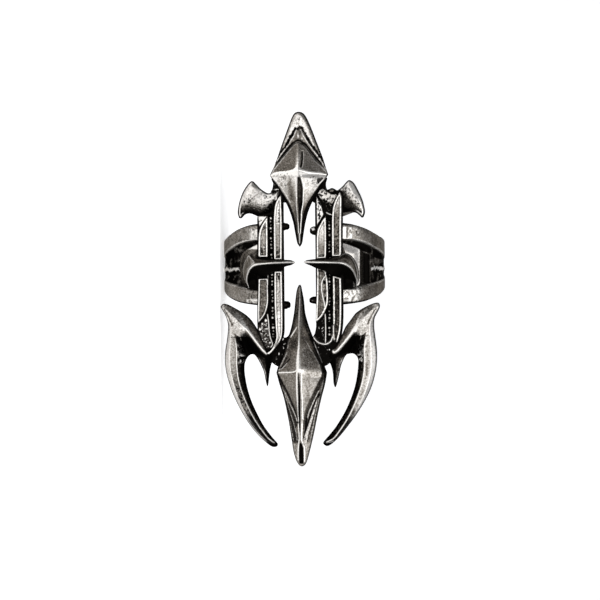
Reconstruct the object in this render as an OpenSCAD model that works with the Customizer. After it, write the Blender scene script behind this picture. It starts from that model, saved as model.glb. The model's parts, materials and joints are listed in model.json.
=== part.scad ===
// Open ring with a long openwork head of spearheads, wings, claws and thorns.
// It is one casting, so all of it is one solid. Sizes are in millimetres.
// It is drawn in the wearer's frame: X across the finger, Y along the finger
// towards the upper spearhead, Z out of the back of the finger, with the finger's
// axis as Y. At the end it is laid on its side, as it rests on a table.

/* [Band] */
// Inside diameter of the band, where the finger goes
bore_d = 18.2; // [18:0.1:18.4]
// Thickness of the band's wall
wall = 1.8; // [1.6:0.1:1.9]
// Width of the opening at the back of the band
back_gap = 8; // [7.5:0.5:9]
// Angle from the front at which the open slot ends on each side
slot_angle = 56; // [50:1:60]
// Depth of the recess along each side of the band
recess = 0.5; // [0.4:0.1:0.8]
// Half the space between the ends of the rails in the centre window
nub_x = 1.3; // [1:0.1:1.6]

/* [Pillars] */
// Height of the pillars' underside over the finger's axis
pillar_foot = 9.25; // [9.2:0.05:9.4]
// Height of the pillars' sunken field over the finger's axis
field_top = 10.9; // [10.7:0.1:11.1]
// Height of the raised strips over the finger's axis
strip_top = 11.6; // [11.5:0.1:11.8]
// Depth of the sunken panel in each strip
panel_depth = 0.25; // [0.1:0.05:0.4]
// Radius of the bead line in each pillar's channel
bead_r = 0.27; // [0.2:0.01:0.3]

/* [Spearheads, wings and claws] */
// Height of the head's underside over the finger's axis
foot = 10; // [9.8:0.05:10.05]
// Height of the spearheads' rim over the head's underside
rim = 0.9; // [0.8:0.1:1.1]
// How much higher the upper spearhead's underside is, as it is the thinner one
upper_lift = 0.3; // [0.2:0.05:0.35]
// How much lower the lower spearhead's underside is, as it is the heavier one
lower_drop = 0.3; // [0.1:0.05:0.4]
// Thickness of the edges of the claws
claw_edge = 0.55; // [0.4:0.05:0.8]
// Thickness of the edges of the wings
wing_edge = 0.7; // [0.6:0.1:1.1]

/* [Hidden] */

bore_r = bore_d / 2;
band_r = bore_r + wall;

// Outline of the band seen from its side: [z, top y, bottom y]
band_outline = [
    [-12, 3.1, -3.1], [-5, 3.2, -3.25], [0, 3.55, -3.5], [2.5, 3.8, -4.0],
    [4.6, 4.3, -4.45], [6.6, 4.95, -4.95], [8.4, 5.48, -5.25],
    [9.4, 5.65, -5.4], [12, 5.7, -5.5]];

// Outline of the slot and recess seen from the side: [z, top y, bottom y]
slot_outline = [
    [-4, -0.2, -0.5], [-3, 0.5, -1.2], [0.5, 1.25, -1.9], [2.5, 1.7, -2.15],
    [5, 2.4, -2.5], [6.5, 2.9, -2.75], [8, 3.3, -3.0], [12, 3.6, -3.2]];

// Spearhead plates: [y, half width, ridge z]
upper_plate = [
    [20.6, 0.3, 10.9], [19.8, 1.0, 11.1], [18.5, 1.55, 11.3], [16.3, 2.35, 11.5],
    [14.4, 3.05, 11.6], [12.1, 3.9, 11.7], [10.5, 2.95, 11.7], [8.8, 1.95, 11.6],
    [7.2, 1.25, 11.5], [5.7, 0.85, 11.3], [4.3, 0.58, 11.1], [2.5, 0.15, 10.9]];
lower_plate = [
    [-2.6, 0.15, 10.9], [-4.7, 0.55, 11.4], [-6.45, 0.75, 11.8], [-8.2, 1.1, 12.2],
    [-9.5, 1.6, 12.3], [-11.8, 2.35, 12.1], [-13.4, 3.0, 11.8], [-14.5, 3.35, 11.6],
    [-16, 3.05, 11.5], [-17.9, 2.5, 11.4], [-21.1, 1.8, 11.3], [-23.8, 1.3, 11.2],
    [-25, 1.1, 11.1], [-26.3, 0.75, 11], [-27.1, 0.3, 10.9]];

// Raised kites on the spearheads: [y, half width, corner z, ridge z]
upper_kite = [
    [16.5, 0.12, 11.3, 11.4], [12.2, 3.8, 11.7, 13.3], [11.7, 3.55, 11.7, 13.6],
    [7, 0.75, 11.4, 11.7], [2.9, 0.12, 10.9, 11]];
lower_kite = [
    [-3, 0.12, 11.1, 11.2], [-9.3, 1.0, 11.9, 12.7], [-14.1, 3.05, 11.8, 13.8],
    [-14.6, 2.85, 11.8, 13.7], [-21.1, 0.12, 11.3, 11.4]];

// Wing, from the pillar out to its tips: [upper x, upper y, lower x, lower y, ridge z, foot z]
wing = [
    [-2.9, 10.3, -2.9, 8.0, 11.2, 9.9], [-3.8, 9.8, -4.2, 7.0, 11.1, 9.8],
    [-5.2, 10.3, -5.55, 6.6, 10.9, 9.2], [-6.0, 11.0, -6.9, 7.0, 10.7, 9.0],
    [-6.4, 11.4, -7.55, 6.65, 10.5, 8.9], [-6.95, 10.95, -7.9, 6.3, 10.3, 8.8],
    [-7.75, 9.5, -8.25, 6.55, 10.0, 8.7], [-8.2, 8.4, -8.4, 7.2, 9.8, 8.7]];

// Horn and arm, from the horn's tip in to the spearhead, in the same columns
arm = [
    [-10.75, -5.4, -10.65, -5.6, 11.4, 10.6], [-9.9, -5.2, -10.0, -6.9, 11.4, 10.0],
    [-8.6, -5.8, -9.6, -8.6, 11.4, 9.7], [-7.4, -6.6, -8.2, -10.1, 11.6, 9.6],
    [-6.3, -8.1, -6.7, -11.6, 11.7, 9.5], [-5.3, -8.8, -5.5, -12.3, 11.6, 9.4],
    [-3.6, -9.2, -3.8, -12.9, 11.3, 9.5], [-2.2, -10.3, -2.6, -13.2, 11.0, 9.6]];

// Claw, from the arm to its blunt tip: [outer x, outer y, inner x, inner y, ridge z, foot z]
claw = [
    [-9.7, -8.0, -7.6, -8.4, 11.4, 9.4], [-10.0, -10.4, -7.5, -11.0, 11.4, 9.4],
    [-10.2, -12.4, -7.5, -12.9, 11.4, 9.4], [-9.95, -14.9, -7.5, -15.1, 11.4, 9.4],
    [-9.3, -17.1, -7.0, -17.2, 11.3, 9.5], [-8.4, -19.0, -6.35, -19.0, 11.2, 9.5],
    [-7.2, -21.0, -5.6, -20.6, 11.1, 9.6], [-6.05, -22.6, -4.8, -22.0, 11.0, 9.6],
    [-4.9, -23.75, -4.1, -23.0, 10.8, 10.0], [-4.0, -24.4, -3.6, -23.6, 10.7, 10.0],
    [-3.25, -24.35, -3.2, -24.0, 10.6, 10.1]];

// Small spike inside the claw, in the same columns
spike = [
    [-6.0, -11.8, -3.4, -12.2, 11.0, 9.7], [-5.4, -13.3, -3.9, -13.4, 10.9, 9.7],
    [-4.95, -14.4, -4.1, -14.5, 10.8, 9.8], [-4.6, -16.2, -4.4, -16.2, 10.6, 10.1]];

// Thorn, from its tip over the pillar to its root: [x, upper y, lower y, ridge z, foot z]
thorn = [
    [-0.65, 0.42, 0.28, 12.6, 12.3], [-1.2, 0.66, 0.07, 12.9, 12.3],
    [-2.2, 0.74, -0.3, 13.1, 11.5], [-3.9, 0.78, -1.1, 13.3, 11.3],
    [-5.5, 0.95, -2.4, 13.1, 9.4], [-6.7, 1.4, -3.2, 12.2, 8.3],
    [-7.5, 0.7, -2.6, 10.6, 7.8], [-7.8, -0.2, -1.2, 9.6, 8.2]];

// Outer strip of the left pillar, twice the same on the right: [x, y]
short_strip = [
    [-4.3, 6.4], [-5.0, 5.5], [-5.55, 4.7], [-5.6, -7.7], [-4.5, -6.5], [-4.3, -4.7]];
tall_strip = [
    [-2.2, 9.6], [-2.6, 9.0], [-3.2, 7.7], [-3.45, 6.6], [-3.45, -9.6],
    [-2.16, -9.9], [-2.16, 9.4]];
// The pillar's field under the strips
pillar_field = [
    [-2.25, 9.0], [-3.6, 9.2], [-4.4, 7.6], [-5.5, 6.9], [-5.5, -9.6],
    [-4.3, -11], [-2.25, -10.4]];
// The right pillar is the left one moved across
pillar_step = 7.8;

// Laid on its left side, the ring rests on the band and on the tip of its left
// horn, so it leans by the angle of the line that touches both
horn_x = -arm[0][0];
horn_z = arm[0][5] + claw_edge;
rest_lean = atan(horn_z / horn_x) - acos(band_r / norm([horn_x, horn_z]));
// The head's and the band's furthest points, for the middle of the whole
head_far = lower_kite[2][3] * cos(rest_lean);
end_x = back_gap / 2;
back_far = sqrt(band_r * band_r - end_x * end_x) * cos(rest_lean) + end_x * sin(rest_lean);
rest_shift = [(upper_plate[0][0] + lower_plate[len(lower_plate) - 1][0]) / 2,
              (head_far - back_far) / 2, band_r];

// Faces over rows of m points, each row joined to the next and both ends closed
function side_faces(n, m) = [for (i = [0:n - 2], j = [0:m - 1]) each [
    [i * m + j, i * m + (j + 1) % m, (i + 1) * m + (j + 1) % m],
    [i * m + j, (i + 1) * m + (j + 1) % m, (i + 1) * m + j]]];
function end_faces(n, m) = [for (j = [1:m - 2]) each [
    [0, j + 1, j], [(n - 1) * m, (n - 1) * m + j, (n - 1) * m + j + 1]]];
function turned(faces) = [for (f = faces) [f[2], f[1], f[0]]];

// One row of a blade: foot, edge, ridge, edge, foot
function section(a, b, zr, zf, e) = [
    [a[0], a[1], zf], [a[0], a[1], zf + e],
    [(a[0] + b[0]) / 2, (a[1] + b[1]) / 2, zr],
    [b[0], b[1], zf + e], [b[0], b[1], zf]];

// A blade through rows of [ax, ay, bx, by, ridge z, foot z] with edges e thick
module blade(rows, e) {
    n = len(rows);
    pts = [for (r = rows) each section([r[0], r[1]], [r[2], r[3]], r[4], r[5], e)];
    f = concat(side_faces(n, 5), end_faces(n, 5));
    across = [rows[1][2] - rows[1][0], rows[1][3] - rows[1][1]];
    along = [rows[2][0] - rows[1][0], rows[2][1] - rows[1][1]];
    polyhedron(pts, cross(across, along) > 0 ? turned(f) : f, convexity = 6);
}

// A shape with the same half width on both sides: rows of [y, half width, edge z, ridge z]
module kite(rows, base) {
    n = len(rows);
    pts = [for (r = rows) each [
        [-r[1], r[0], base], [-r[1], r[0], r[2]], [0, r[0], r[3]],
        [r[1], r[0], r[2]], [r[1], r[0], base]]];
    f = concat(side_faces(n, 5), end_faces(n, 5));
    polyhedron(pts, rows[1][0] < rows[0][0] ? f : turned(f), convexity = 6);
}

// The solid between two curves seen from the side, all the way across the ring
module across(outline) {
    rotate([0, -90, 0]) linear_extrude(height = 30, center = true)
        polygon(concat([for (r = outline) [r[0], r[1]]],
                       [for (i = [len(outline) - 1:-1:0]) [outline[i][0], outline[i][2]]]));
}

module along_finger(r, h) { rotate([90, 0, 0]) cylinder(r = r, h = h, center = true, $fn = 96); }

// The front sector of the band, out to an angle on each side
module front_sector(angle) {
    rotate([90, 0, 0]) linear_extrude(height = 20, center = true)
        polygon([[0, 0], [20 * sin(angle), 20 * cos(angle)], [20, 25], [-20, 25],
                 [-20 * sin(angle), 20 * cos(angle)]]);
}

module shank() {
    color("#8d8a84") difference() {
        intersection() {
            difference() {
                along_finger(band_r, 14);
                along_finger(bore_r, 15);
            }
            across(band_outline);
        }
        // Open slot between the rails
        intersection() {
            across(slot_outline);
            front_sector(slot_angle);
        }
        // Recess along each side, with a thin rib left in it
        difference() {
            across(slot_outline);
            along_finger(band_r - recess, 16);
            translate([0, -0.5, 0]) along_finger(band_r - 0.3, 0.35);
        }
        // Centre window between the rails' ends
        translate([0, 0, 10]) cube([2 * nub_x, 13, 6], center = true);
        for (s = [-1, 1]) translate([0, s * 3.6, 10])
            cube([4.2, 1, 6], center = true);
        // Opening at the back
        translate([0, 0, -band_r]) cube([back_gap, 13, 6], center = true);
    }
}

module strip(outline) {
    difference() {
        translate([0, 0, foot + 0.2])
            linear_extrude(height = strip_top - foot - 0.2) polygon(outline);
        intersection() {
            translate([0, 0, strip_top - panel_depth]) linear_extrude(height = 1)
                offset(delta = -0.28) polygon(outline);
        }
    }
}

module pillar() {
    translate([0, 0, foot]) linear_extrude(height = field_top - foot)
        polygon(pillar_field);
    // Seats on the two rails
    for (y = [-4.35, 4.35]) translate([-5.5, y - 1.1, pillar_foot])
        cube([3.25, 2.2, field_top - pillar_foot - 0.2]);
    strip(short_strip);
    strip(tall_strip);
    // Bead line in the channel
    translate([-3.87, -1.6, field_top]) along_finger(bead_r, 15);
}

module upper_spearhead() {
    kite([for (r = upper_plate) [r[0], r[1], foot + rim, r[2]]], foot + upper_lift);
    kite(upper_kite, foot + 0.4);
}

module lower_spearhead() {
    kite([for (r = lower_plate) [r[0], r[1], foot + rim, r[2]]], foot - lower_drop);
    kite(lower_kite, foot + 0.4);
}

module left_thorn() {
    blade([for (r = thorn) [r[0], r[1], r[0], r[2], r[3], r[4]]], 0.5);
}

// The half of the head that is the same on both sides
module left_side() {
    blade(wing, wing_edge);
    blade(arm, claw_edge);
    blade(claw, claw_edge);
    blade(spike, claw_edge);
    left_thorn();
}

module head() {
    color("#8d8a84") {
        upper_spearhead();
        lower_spearhead();
        pillar();
        translate([pillar_step, 0, 0]) pillar();
        left_side();
        mirror([1, 0, 0]) left_side();
    }
}

module ring() {
    translate(rest_shift) rotate([rest_lean, 0, 0]) rotate([0, -90, 90]) {
        shank();
        head();
    }
}

ring();
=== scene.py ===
import bpy
import math
import numpy as np
from mathutils import Matrix, Vector
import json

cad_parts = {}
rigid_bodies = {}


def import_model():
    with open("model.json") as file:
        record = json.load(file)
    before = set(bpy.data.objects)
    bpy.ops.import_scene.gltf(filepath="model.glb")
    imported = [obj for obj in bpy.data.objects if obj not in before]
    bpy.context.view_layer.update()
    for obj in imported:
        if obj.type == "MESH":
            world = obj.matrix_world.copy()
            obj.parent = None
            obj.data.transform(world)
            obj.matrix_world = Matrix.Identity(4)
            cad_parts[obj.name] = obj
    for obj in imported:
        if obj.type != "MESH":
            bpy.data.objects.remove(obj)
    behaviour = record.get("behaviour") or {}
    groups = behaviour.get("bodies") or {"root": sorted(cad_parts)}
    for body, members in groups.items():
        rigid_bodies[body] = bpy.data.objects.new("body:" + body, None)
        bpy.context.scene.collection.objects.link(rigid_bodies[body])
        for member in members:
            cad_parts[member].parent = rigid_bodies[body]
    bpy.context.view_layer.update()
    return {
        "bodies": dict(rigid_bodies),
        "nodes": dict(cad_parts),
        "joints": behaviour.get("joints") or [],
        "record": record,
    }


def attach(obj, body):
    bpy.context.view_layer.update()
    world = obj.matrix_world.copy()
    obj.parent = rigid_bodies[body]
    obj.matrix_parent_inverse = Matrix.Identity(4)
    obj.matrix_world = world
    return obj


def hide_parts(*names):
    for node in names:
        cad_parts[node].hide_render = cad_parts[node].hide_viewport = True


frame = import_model()

# The ring is sculpted in the wearer's frame, in millimetres: X across the finger, Y along the
# finger towards the upper spearhead, Z out of the back of the finger, the finger's axis as Y.
# Every piece but the nubs is a relief: a height over a plane outline, with walls and a back.
BORE_R, BAND_R = 9.1, 10.9
LEAN = math.atan2(11.15, 10.75) - math.acos(BAND_R / math.hypot(11.15, 10.75))
SHIFT = np.array([-3.25, 1.8030, 10.9])
H = 0.07  # spacing of the reliefs


def world(p):
    """From the wearer's frame in millimetres to the row's frame in metres, as the ring lies."""
    p = np.asarray(p, float).reshape(-1, 3)
    x, y, z = -p[:, 1], -p[:, 2], p[:, 0]
    c, s = math.cos(LEAN), math.sin(LEAN)
    return (np.stack([x, y * c - z * s, y * s + z * c], 1) + SHIFT) * 0.001


# ---------------------------------------------------------------- curves and fields

def smooth(points, step=0.25, corners=(), closed=False):
    """A curve through the points, with a break in direction at the numbered corners."""
    p = np.array(points, float)
    n = len(p)
    out = []
    for i in range(n if closed else n - 1):
        a, b = p[i], p[(i + 1) % n]
        prev = p[(i - 1) % n] if closed or i > 0 else a
        nxt = p[(i + 2) % n] if closed or i + 2 < n else b
        ta = (b - prev) * 0.5 if i not in corners else (b - a)
        tb = (nxt - a) * 0.5 if (i + 1) % n not in corners else (b - a)
        length = np.hypot(*(b - a)[:2])
        for t in (ta, tb):
            k = np.hypot(*t[:2])
            if k > length:
                t *= length / k
        m = max(1, int(math.ceil(length / step)))
        t = (np.arange(m) / m)[:, None]
        out.append((2 * t**3 - 3 * t**2 + 1) * a + (t**3 - 2 * t**2 + t) * ta
                   + (-2 * t**3 + 3 * t**2) * b + (t**3 - t**2) * tb)
    if not closed:
        out.append(p[-1:])
    return np.vstack(out)


def near(X, Y, line, closed=False):
    """Distance to a line, the nearest point on it, and the line's third value there."""
    p = np.asarray(line, float)
    if closed:
        p = np.vstack([p, p[:1]])
    best = np.full(X.shape, 1e9)
    CX, CY, V = np.zeros(X.shape), np.zeros(X.shape), np.zeros(X.shape)
    third = p[:, 2] if p.shape[1] > 2 else np.zeros(len(p))
    for i in range(len(p) - 1):
        (ax, ay), (bx, by) = p[i, :2], p[i + 1, :2]
        vx, vy = bx - ax, by - ay
        ll = vx * vx + vy * vy
        if ll < 1e-12:
            continue
        t = np.clip(((X - ax) * vx + (Y - ay) * vy) / ll, 0, 1)
        cx, cy = ax + t * vx, ay + t * vy
        d = (X - cx) ** 2 + (Y - cy) ** 2
        m = d < best
        best[m], CX[m], CY[m] = d[m], cx[m], cy[m]
        V[m] = (third[i] + t * (third[i + 1] - third[i]))[m]
    return np.sqrt(best), CX, CY, V


def inside(X, Y, loop):
    p = np.asarray(loop, float)[:, :2]
    q = np.roll(p, -1, axis=0)
    hit = np.zeros(X.shape, bool)
    for (ax, ay), (bx, by) in zip(p, q):
        if ay == by:
            continue
        hit ^= ((ay > Y) != (by > Y)) & (X < (bx - ax) * (Y - ay) / (by - ay) + ax)
    return hit


def signed(X, Y, loop):
    d, cx, cy, _ = near(X, Y, loop, closed=True)
    return np.where(inside(X, Y, loop), d, -d), cx, cy


def gauss(F, s):
    """Blur by s grid steps."""
    n = int(math.ceil(3 * s))
    k = np.exp(-0.5 * (np.arange(-n, n + 1) / s) ** 2)
    k /= k.sum()
    for axis in (0, 1):
        pad = [(0, 0), (0, 0)]
        pad[axis] = (n, n)
        P = np.pad(F, pad, mode="edge")
        out = np.zeros(F.shape)
        for i, w in enumerate(k):
            out += w * (P[i:i + F.shape[0], :] if axis == 0 else P[:, i:i + F.shape[1]])
        F = out
    return F


def noise(X, Y, size, seed, octaves=2):
    """Smooth noise from -1 to 1 with bumps of about the given size."""
    total, amp, norm = 0, 1.0, 0
    for o in range(octaves):
        lattice = np.random.RandomState(seed + 17 * o).uniform(-1, 1, (97, 97))
        u, v = X / size + 31.7 * o, Y / size + 11.3 * o
        iu, iv = np.floor(u).astype(int), np.floor(v).astype(int)
        fu, fv = u - iu, v - iv
        fu, fv = fu * fu * (3 - 2 * fu), fv * fv * (3 - 2 * fv)

        def g(a, b):
            return lattice[(iv + b) % 97, (iu + a) % 97]
        total = total + amp * ((g(0, 0) * (1 - fu) + g(1, 0) * fu) * (1 - fv)
                               + (g(0, 1) * (1 - fu) + g(1, 1) * fu) * fv)
        norm += amp
        amp, size = amp * 0.5, size * 0.5
    return total / norm


def bump(d, w):
    """1 on a line, falling smoothly to 0 at w from it."""
    t = np.clip(1 - d / w, 0, 1)
    return t * t * (3 - 2 * t)


def rise(d, w):
    """0 at 0 and below, 1 above w."""
    t = np.clip(d / w, 0, 1)
    return t * t * (3 - 2 * t)


def table(rows, at):
    """A value from a table of (position, value), in any order."""
    r = np.array(sorted(rows), float)
    return np.interp(at, r[:, 0], r[:, 1])


class Relief:
    """A height field over an outline, with the tones that its finish follows: dark for blackened hollows and some
    painted shadow, bright for worn edges and some painted highlights, pit for rough casting, and shade for the patina's
    depth and the painted light and shade of the facets."""

    def __init__(self, name, outline, holes=(), h=H, pad=0.5):
        self.name, self.h = name, h
        p = np.asarray(outline, float)[:, :2]
        lo, hi = np.floor((p.min(0) - pad) / h).astype(int), np.ceil((p.max(0) + pad) / h).astype(int)
        self.i0, self.j0 = lo
        self.X, self.Y = np.meshgrid(np.arange(lo[0], hi[0] + 1) * h, np.arange(lo[1], hi[1] + 1) * h)
        self.D, self.CX, self.CY = signed(self.X, self.Y, p)
        for hole in holes:
            d, cx, cy = signed(self.X, self.Y, hole)
            m = -d < self.D
            self.D = np.where(m, -d, self.D)
            self.CX, self.CY = np.where(m, cx, self.CX), np.where(m, cy, self.CY)
        self.Z = np.zeros(self.X.shape)
        self.dark, self.bright, self.pit = (np.zeros(self.X.shape) for _ in range(3))
        self.shade = np.full(self.X.shape, 0.5)

    def loft(self, lines, hollow=None, only=None):
        """Heights between lines of (x, y, z), each joined to the next one."""
        near_all = [near(self.X, self.Y, l) for l in lines]
        dist = np.stack([n[0] for n in near_all])
        vals = np.stack([n[3] for n in near_all])
        k = dist.argmin(0)
        Z = np.take_along_axis(vals, k[None], 0)[0]
        hit = np.zeros(Z.shape, bool)
        for i in range(len(lines) - 1):
            loop = np.vstack([np.asarray(lines[i])[:, :2], np.asarray(lines[i + 1])[::-1, :2]])
            m = inside(self.X, self.Y, loop)
            f = dist[i] / (dist[i] + dist[i + 1] + 1e-9)
            z = vals[i] + (vals[i + 1] - vals[i]) * f
            if hollow and hollow[i]:
                z = z - hollow[i] * 4 * f * (1 - f)
            Z = np.where(m, z, Z)
            hit |= m
        return Z, hit

    def groove(self, line, width, depth, dark=0.0, jag=0.0, seed=3):
        d = near(self.X, self.Y, line)[0]
        if jag:
            d = np.abs(d + jag * noise(self.X, self.Y, 0.4, seed))
        b = bump(d, width)
        self.Z = self.Z - depth * b
        self.dark = np.maximum(self.dark, dark * b)
        self.bright = self.bright * (1 - b)

    def line(self, line, width, height, bright=0.0):
        """A raised line. A third value in its points fades it."""
        line = np.asarray(line, float)
        d, _, _, v = near(self.X, self.Y, line)
        b = bump(d, width) * (v if line.shape[1] > 2 else 1)
        self.Z = self.Z + height * b
        self.bright = np.maximum(self.bright, bright * b)
        self.dark = self.dark * (1 - np.minimum(1, b * 1.5))

    def area(self, loop, soft=0.12, out=0.0):
        return rise(signed(self.X, self.Y, loop)[0] + out + soft / 2, soft)

    def sink(self, loop, depth, soft=0.3, dark=1.0, out=0.0):
        m = rise(signed(self.X, self.Y, loop)[0] + out, soft)
        self.Z = self.Z - depth * m
        self.dark = np.maximum(self.dark, dark * m)
        self.bright = self.bright * (1 - m)
        return m

    def pits(self, mask, depth=0.06, size=0.3, seed=5, level=0.1):
        n = noise(self.X, self.Y, size, seed)
        hit = rise(n - level, 0.25) * mask
        self.Z = self.Z - depth * hit
        self.dark = np.maximum(self.dark, 0.75 * hit)
        self.bright = np.maximum(self.bright, 0.5 * rise(-n - 0.1, 0.3) * mask)
        self.pit = np.maximum(self.pit, mask)

    def round_edges(self, r, power=1.0):
        k = np.clip(1 - np.clip(self.D, 0, None) / r, 0, 1)
        self.Z = self.Z - power * r * (1 - np.sqrt(np.clip(1 - k * k, 0, 1)))

    def creases(self, s=0.16, gain=0.035, bright=1.0, dark=0.7):
        """Worn ridges turn bright and creases dark, from the shape itself."""
        m = (self.D > -0.02).astype(float)
        k = s / self.h
        mean = gauss(self.Z * m, k) / np.maximum(gauss(m, k), 1e-3)
        c = (self.Z - mean) / gain
        self.bright = np.maximum(self.bright, np.clip(c, 0, 1) * m * bright)
        self.dark = np.maximum(self.dark, np.clip(-c - 0.15, 0, 1) * dark * m)

    def edge(self, w, soft=0.08):
        return 1 - rise(np.clip(self.D, 0, None) - w, soft)

    def outline(self, w=0.13, dark=0.85, mask=1.0):
        """The patina left along the edge."""
        b = bump(np.clip(self.D, 0, None), w) * mask
        self.dark = np.maximum(self.dark, dark * b)
        self.bright = self.bright * (1 - b)

    def specks(self, mask, size=0.17, seed=5, level=0.28, height=0.06, bright=0.95):
        """Worn high points in a blackened, roughly cast field."""
        hit = rise(noise(self.X, self.Y, size, seed) - level, 0.15) * mask
        self.Z = self.Z + height * hit
        self.bright = np.maximum(self.bright, bright * hit)
        self.dark = self.dark * (1 - hit)

    def facet(self, loop, tone, lift, seed, level=0.2, size=0.2, soft=0.08, out=-0.03, depth=0.12):
        """A worn facet of rough casting, with black pits."""
        m = self.area(loop, soft, out)
        self.Z = self.Z + lift * m
        self.dark, self.bright = self.dark * (1 - m), self.bright * (1 - m)
        self.shade = self.shade * (1 - m) + tone * m
        hit = rise(noise(self.X, self.Y, size, seed) - level, 0.12) * m
        self.Z = self.Z - depth * hit
        self.dark = np.maximum(self.dark, 0.97 * hit)
        return m

    def strip(self, loop, shade, seed, frame=0.22, pits=0.8, top=11.62, level=0.2, worn=1.0):
        """A raised strip: a worn frame around a sunken, pitted panel."""
        S = signed(self.X, self.Y, loop)[0]
        up, panel = rise(S + 0.04, 0.08), rise(S - frame, 0.07)
        self.Z = self.Z * (1 - up) + (top - 0.22 * panel) * up
        self.dark = np.maximum(self.dark, 0.97 * bump(np.abs(S + 0.08), 0.12)) * (1 - up)
        gaps = 0.6 * rise(noise(self.X, self.Y, 0.2, seed + 3) - 0.3, 0.25)
        self.bright = self.bright * (1 - up) + up * (1 - panel) * worn * (0.97 + 0.2 * noise(self.X, self.Y, 0.8, seed) - gaps)
        self.shade = self.shade * (1 - up) + up * (1 - panel) * 0.7 + up * panel * shade
        self.dark = np.maximum(self.dark, 0.7 * bump(np.abs(S - frame - 0.06), 0.09) * up)
        # The pits gather along the frame
        worst = np.clip(0.4 - level, 0, 1) * np.clip(pits, 0, 1) * bump(np.clip(S - frame, 0, None), 0.3) * panel
        self.dark = np.maximum(self.dark, 0.95 * rise(noise(self.X, self.Y, 0.2, seed + 5) + 1.6 * worst - 0.45, 0.2) * (worst > 0.02))
        self.pit = self.pit * (1 - up)
        rough = rise(noise(self.X, self.Y, 0.16, seed) - level, 0.2) * panel * pits
        self.Z = self.Z - 0.05 * rough
        self.dark = np.maximum(self.dark, 0.9 * rough)
        grit = rise(-noise(self.X, self.Y, 0.16, seed) - 0.3, 0.2) * panel * np.clip(pits, 0, 1)
        self.shade = self.shade + 0.22 * grit
        return up

    def soften(self, s=0.04):
        m = (self.D > -0.5 * self.h).astype(float)
        k = s / self.h
        self.Z = np.where(m > 0, gauss(self.Z * m, k) / np.maximum(gauss(m, k), 1e-3), self.Z)

    def sample(self, F, x, y):
        u, v = x / self.h - self.i0, y / self.h - self.j0
        iu = np.clip(np.floor(u).astype(int), 0, F.shape[1] - 2)
        iv = np.clip(np.floor(v).astype(int), 0, F.shape[0] - 2)
        fu, fv = np.clip(u - iu, 0, 1), np.clip(v - iv, 0, 1)
        return ((F[iv, iu] * (1 - fu) + F[iv, iu + 1] * fu) * (1 - fv)
                + (F[iv + 1, iu] * (1 - fu) + F[iv + 1, iu + 1] * fu) * fv)


# ---------------------------------------------------------------- meshes

PARTS = {}


def add_part(name, verts, quads, ngons, tone):
    """Keeps a body for the piece of this name. A piece can hold several bodies."""
    PARTS.setdefault(name, []).append((world(verts), np.asarray(quads), ngons, tone))


def build_pieces():
    for name, bodies in PARTS.items():
        co, quads, ngons, tones, base = [], [], [], [], 0
        for v, q, g, t in bodies:
            co.append(v)
            quads.append(q + base)
            ngons += [np.asarray(x) + base for x in g]
            tones.append(t)
            base += len(v)
        co, quads, tone = np.vstack(co), np.vstack(quads), np.vstack(tones)
        me = bpy.data.meshes.new(name)
        sizes = np.concatenate([np.full(len(quads), 4), [len(g) for g in ngons]]).astype(np.int32)
        loops = np.concatenate([quads.reshape(-1)] + list(ngons)).astype(np.int32)
        me.vertices.add(len(co))
        me.vertices.foreach_set("co", co.astype(np.float32).reshape(-1))
        me.loops.add(len(loops))
        me.loops.foreach_set("vertex_index", loops)
        me.polygons.add(len(sizes))
        me.polygons.foreach_set("loop_start", np.concatenate([[0], np.cumsum(sizes)[:-1]]).astype(np.int32))
        flags = np.ones(len(sizes), bool)
        flags[len(quads):] = False
        me.polygons.foreach_set("use_smooth", flags)
        me.update(calc_edges=True)
        me.validate()
        att = me.attributes.new("tone", "FLOAT_COLOR", "POINT")
        att.data.foreach_set("color", np.clip(tone, 0, 1).astype(np.float32).reshape(-1))
        ob = bpy.data.objects.new(name, me)
        bpy.context.scene.collection.objects.link(ob)
        ob.data.materials.append(metal(name))
        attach(ob, "root")
        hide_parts("ring")


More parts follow.
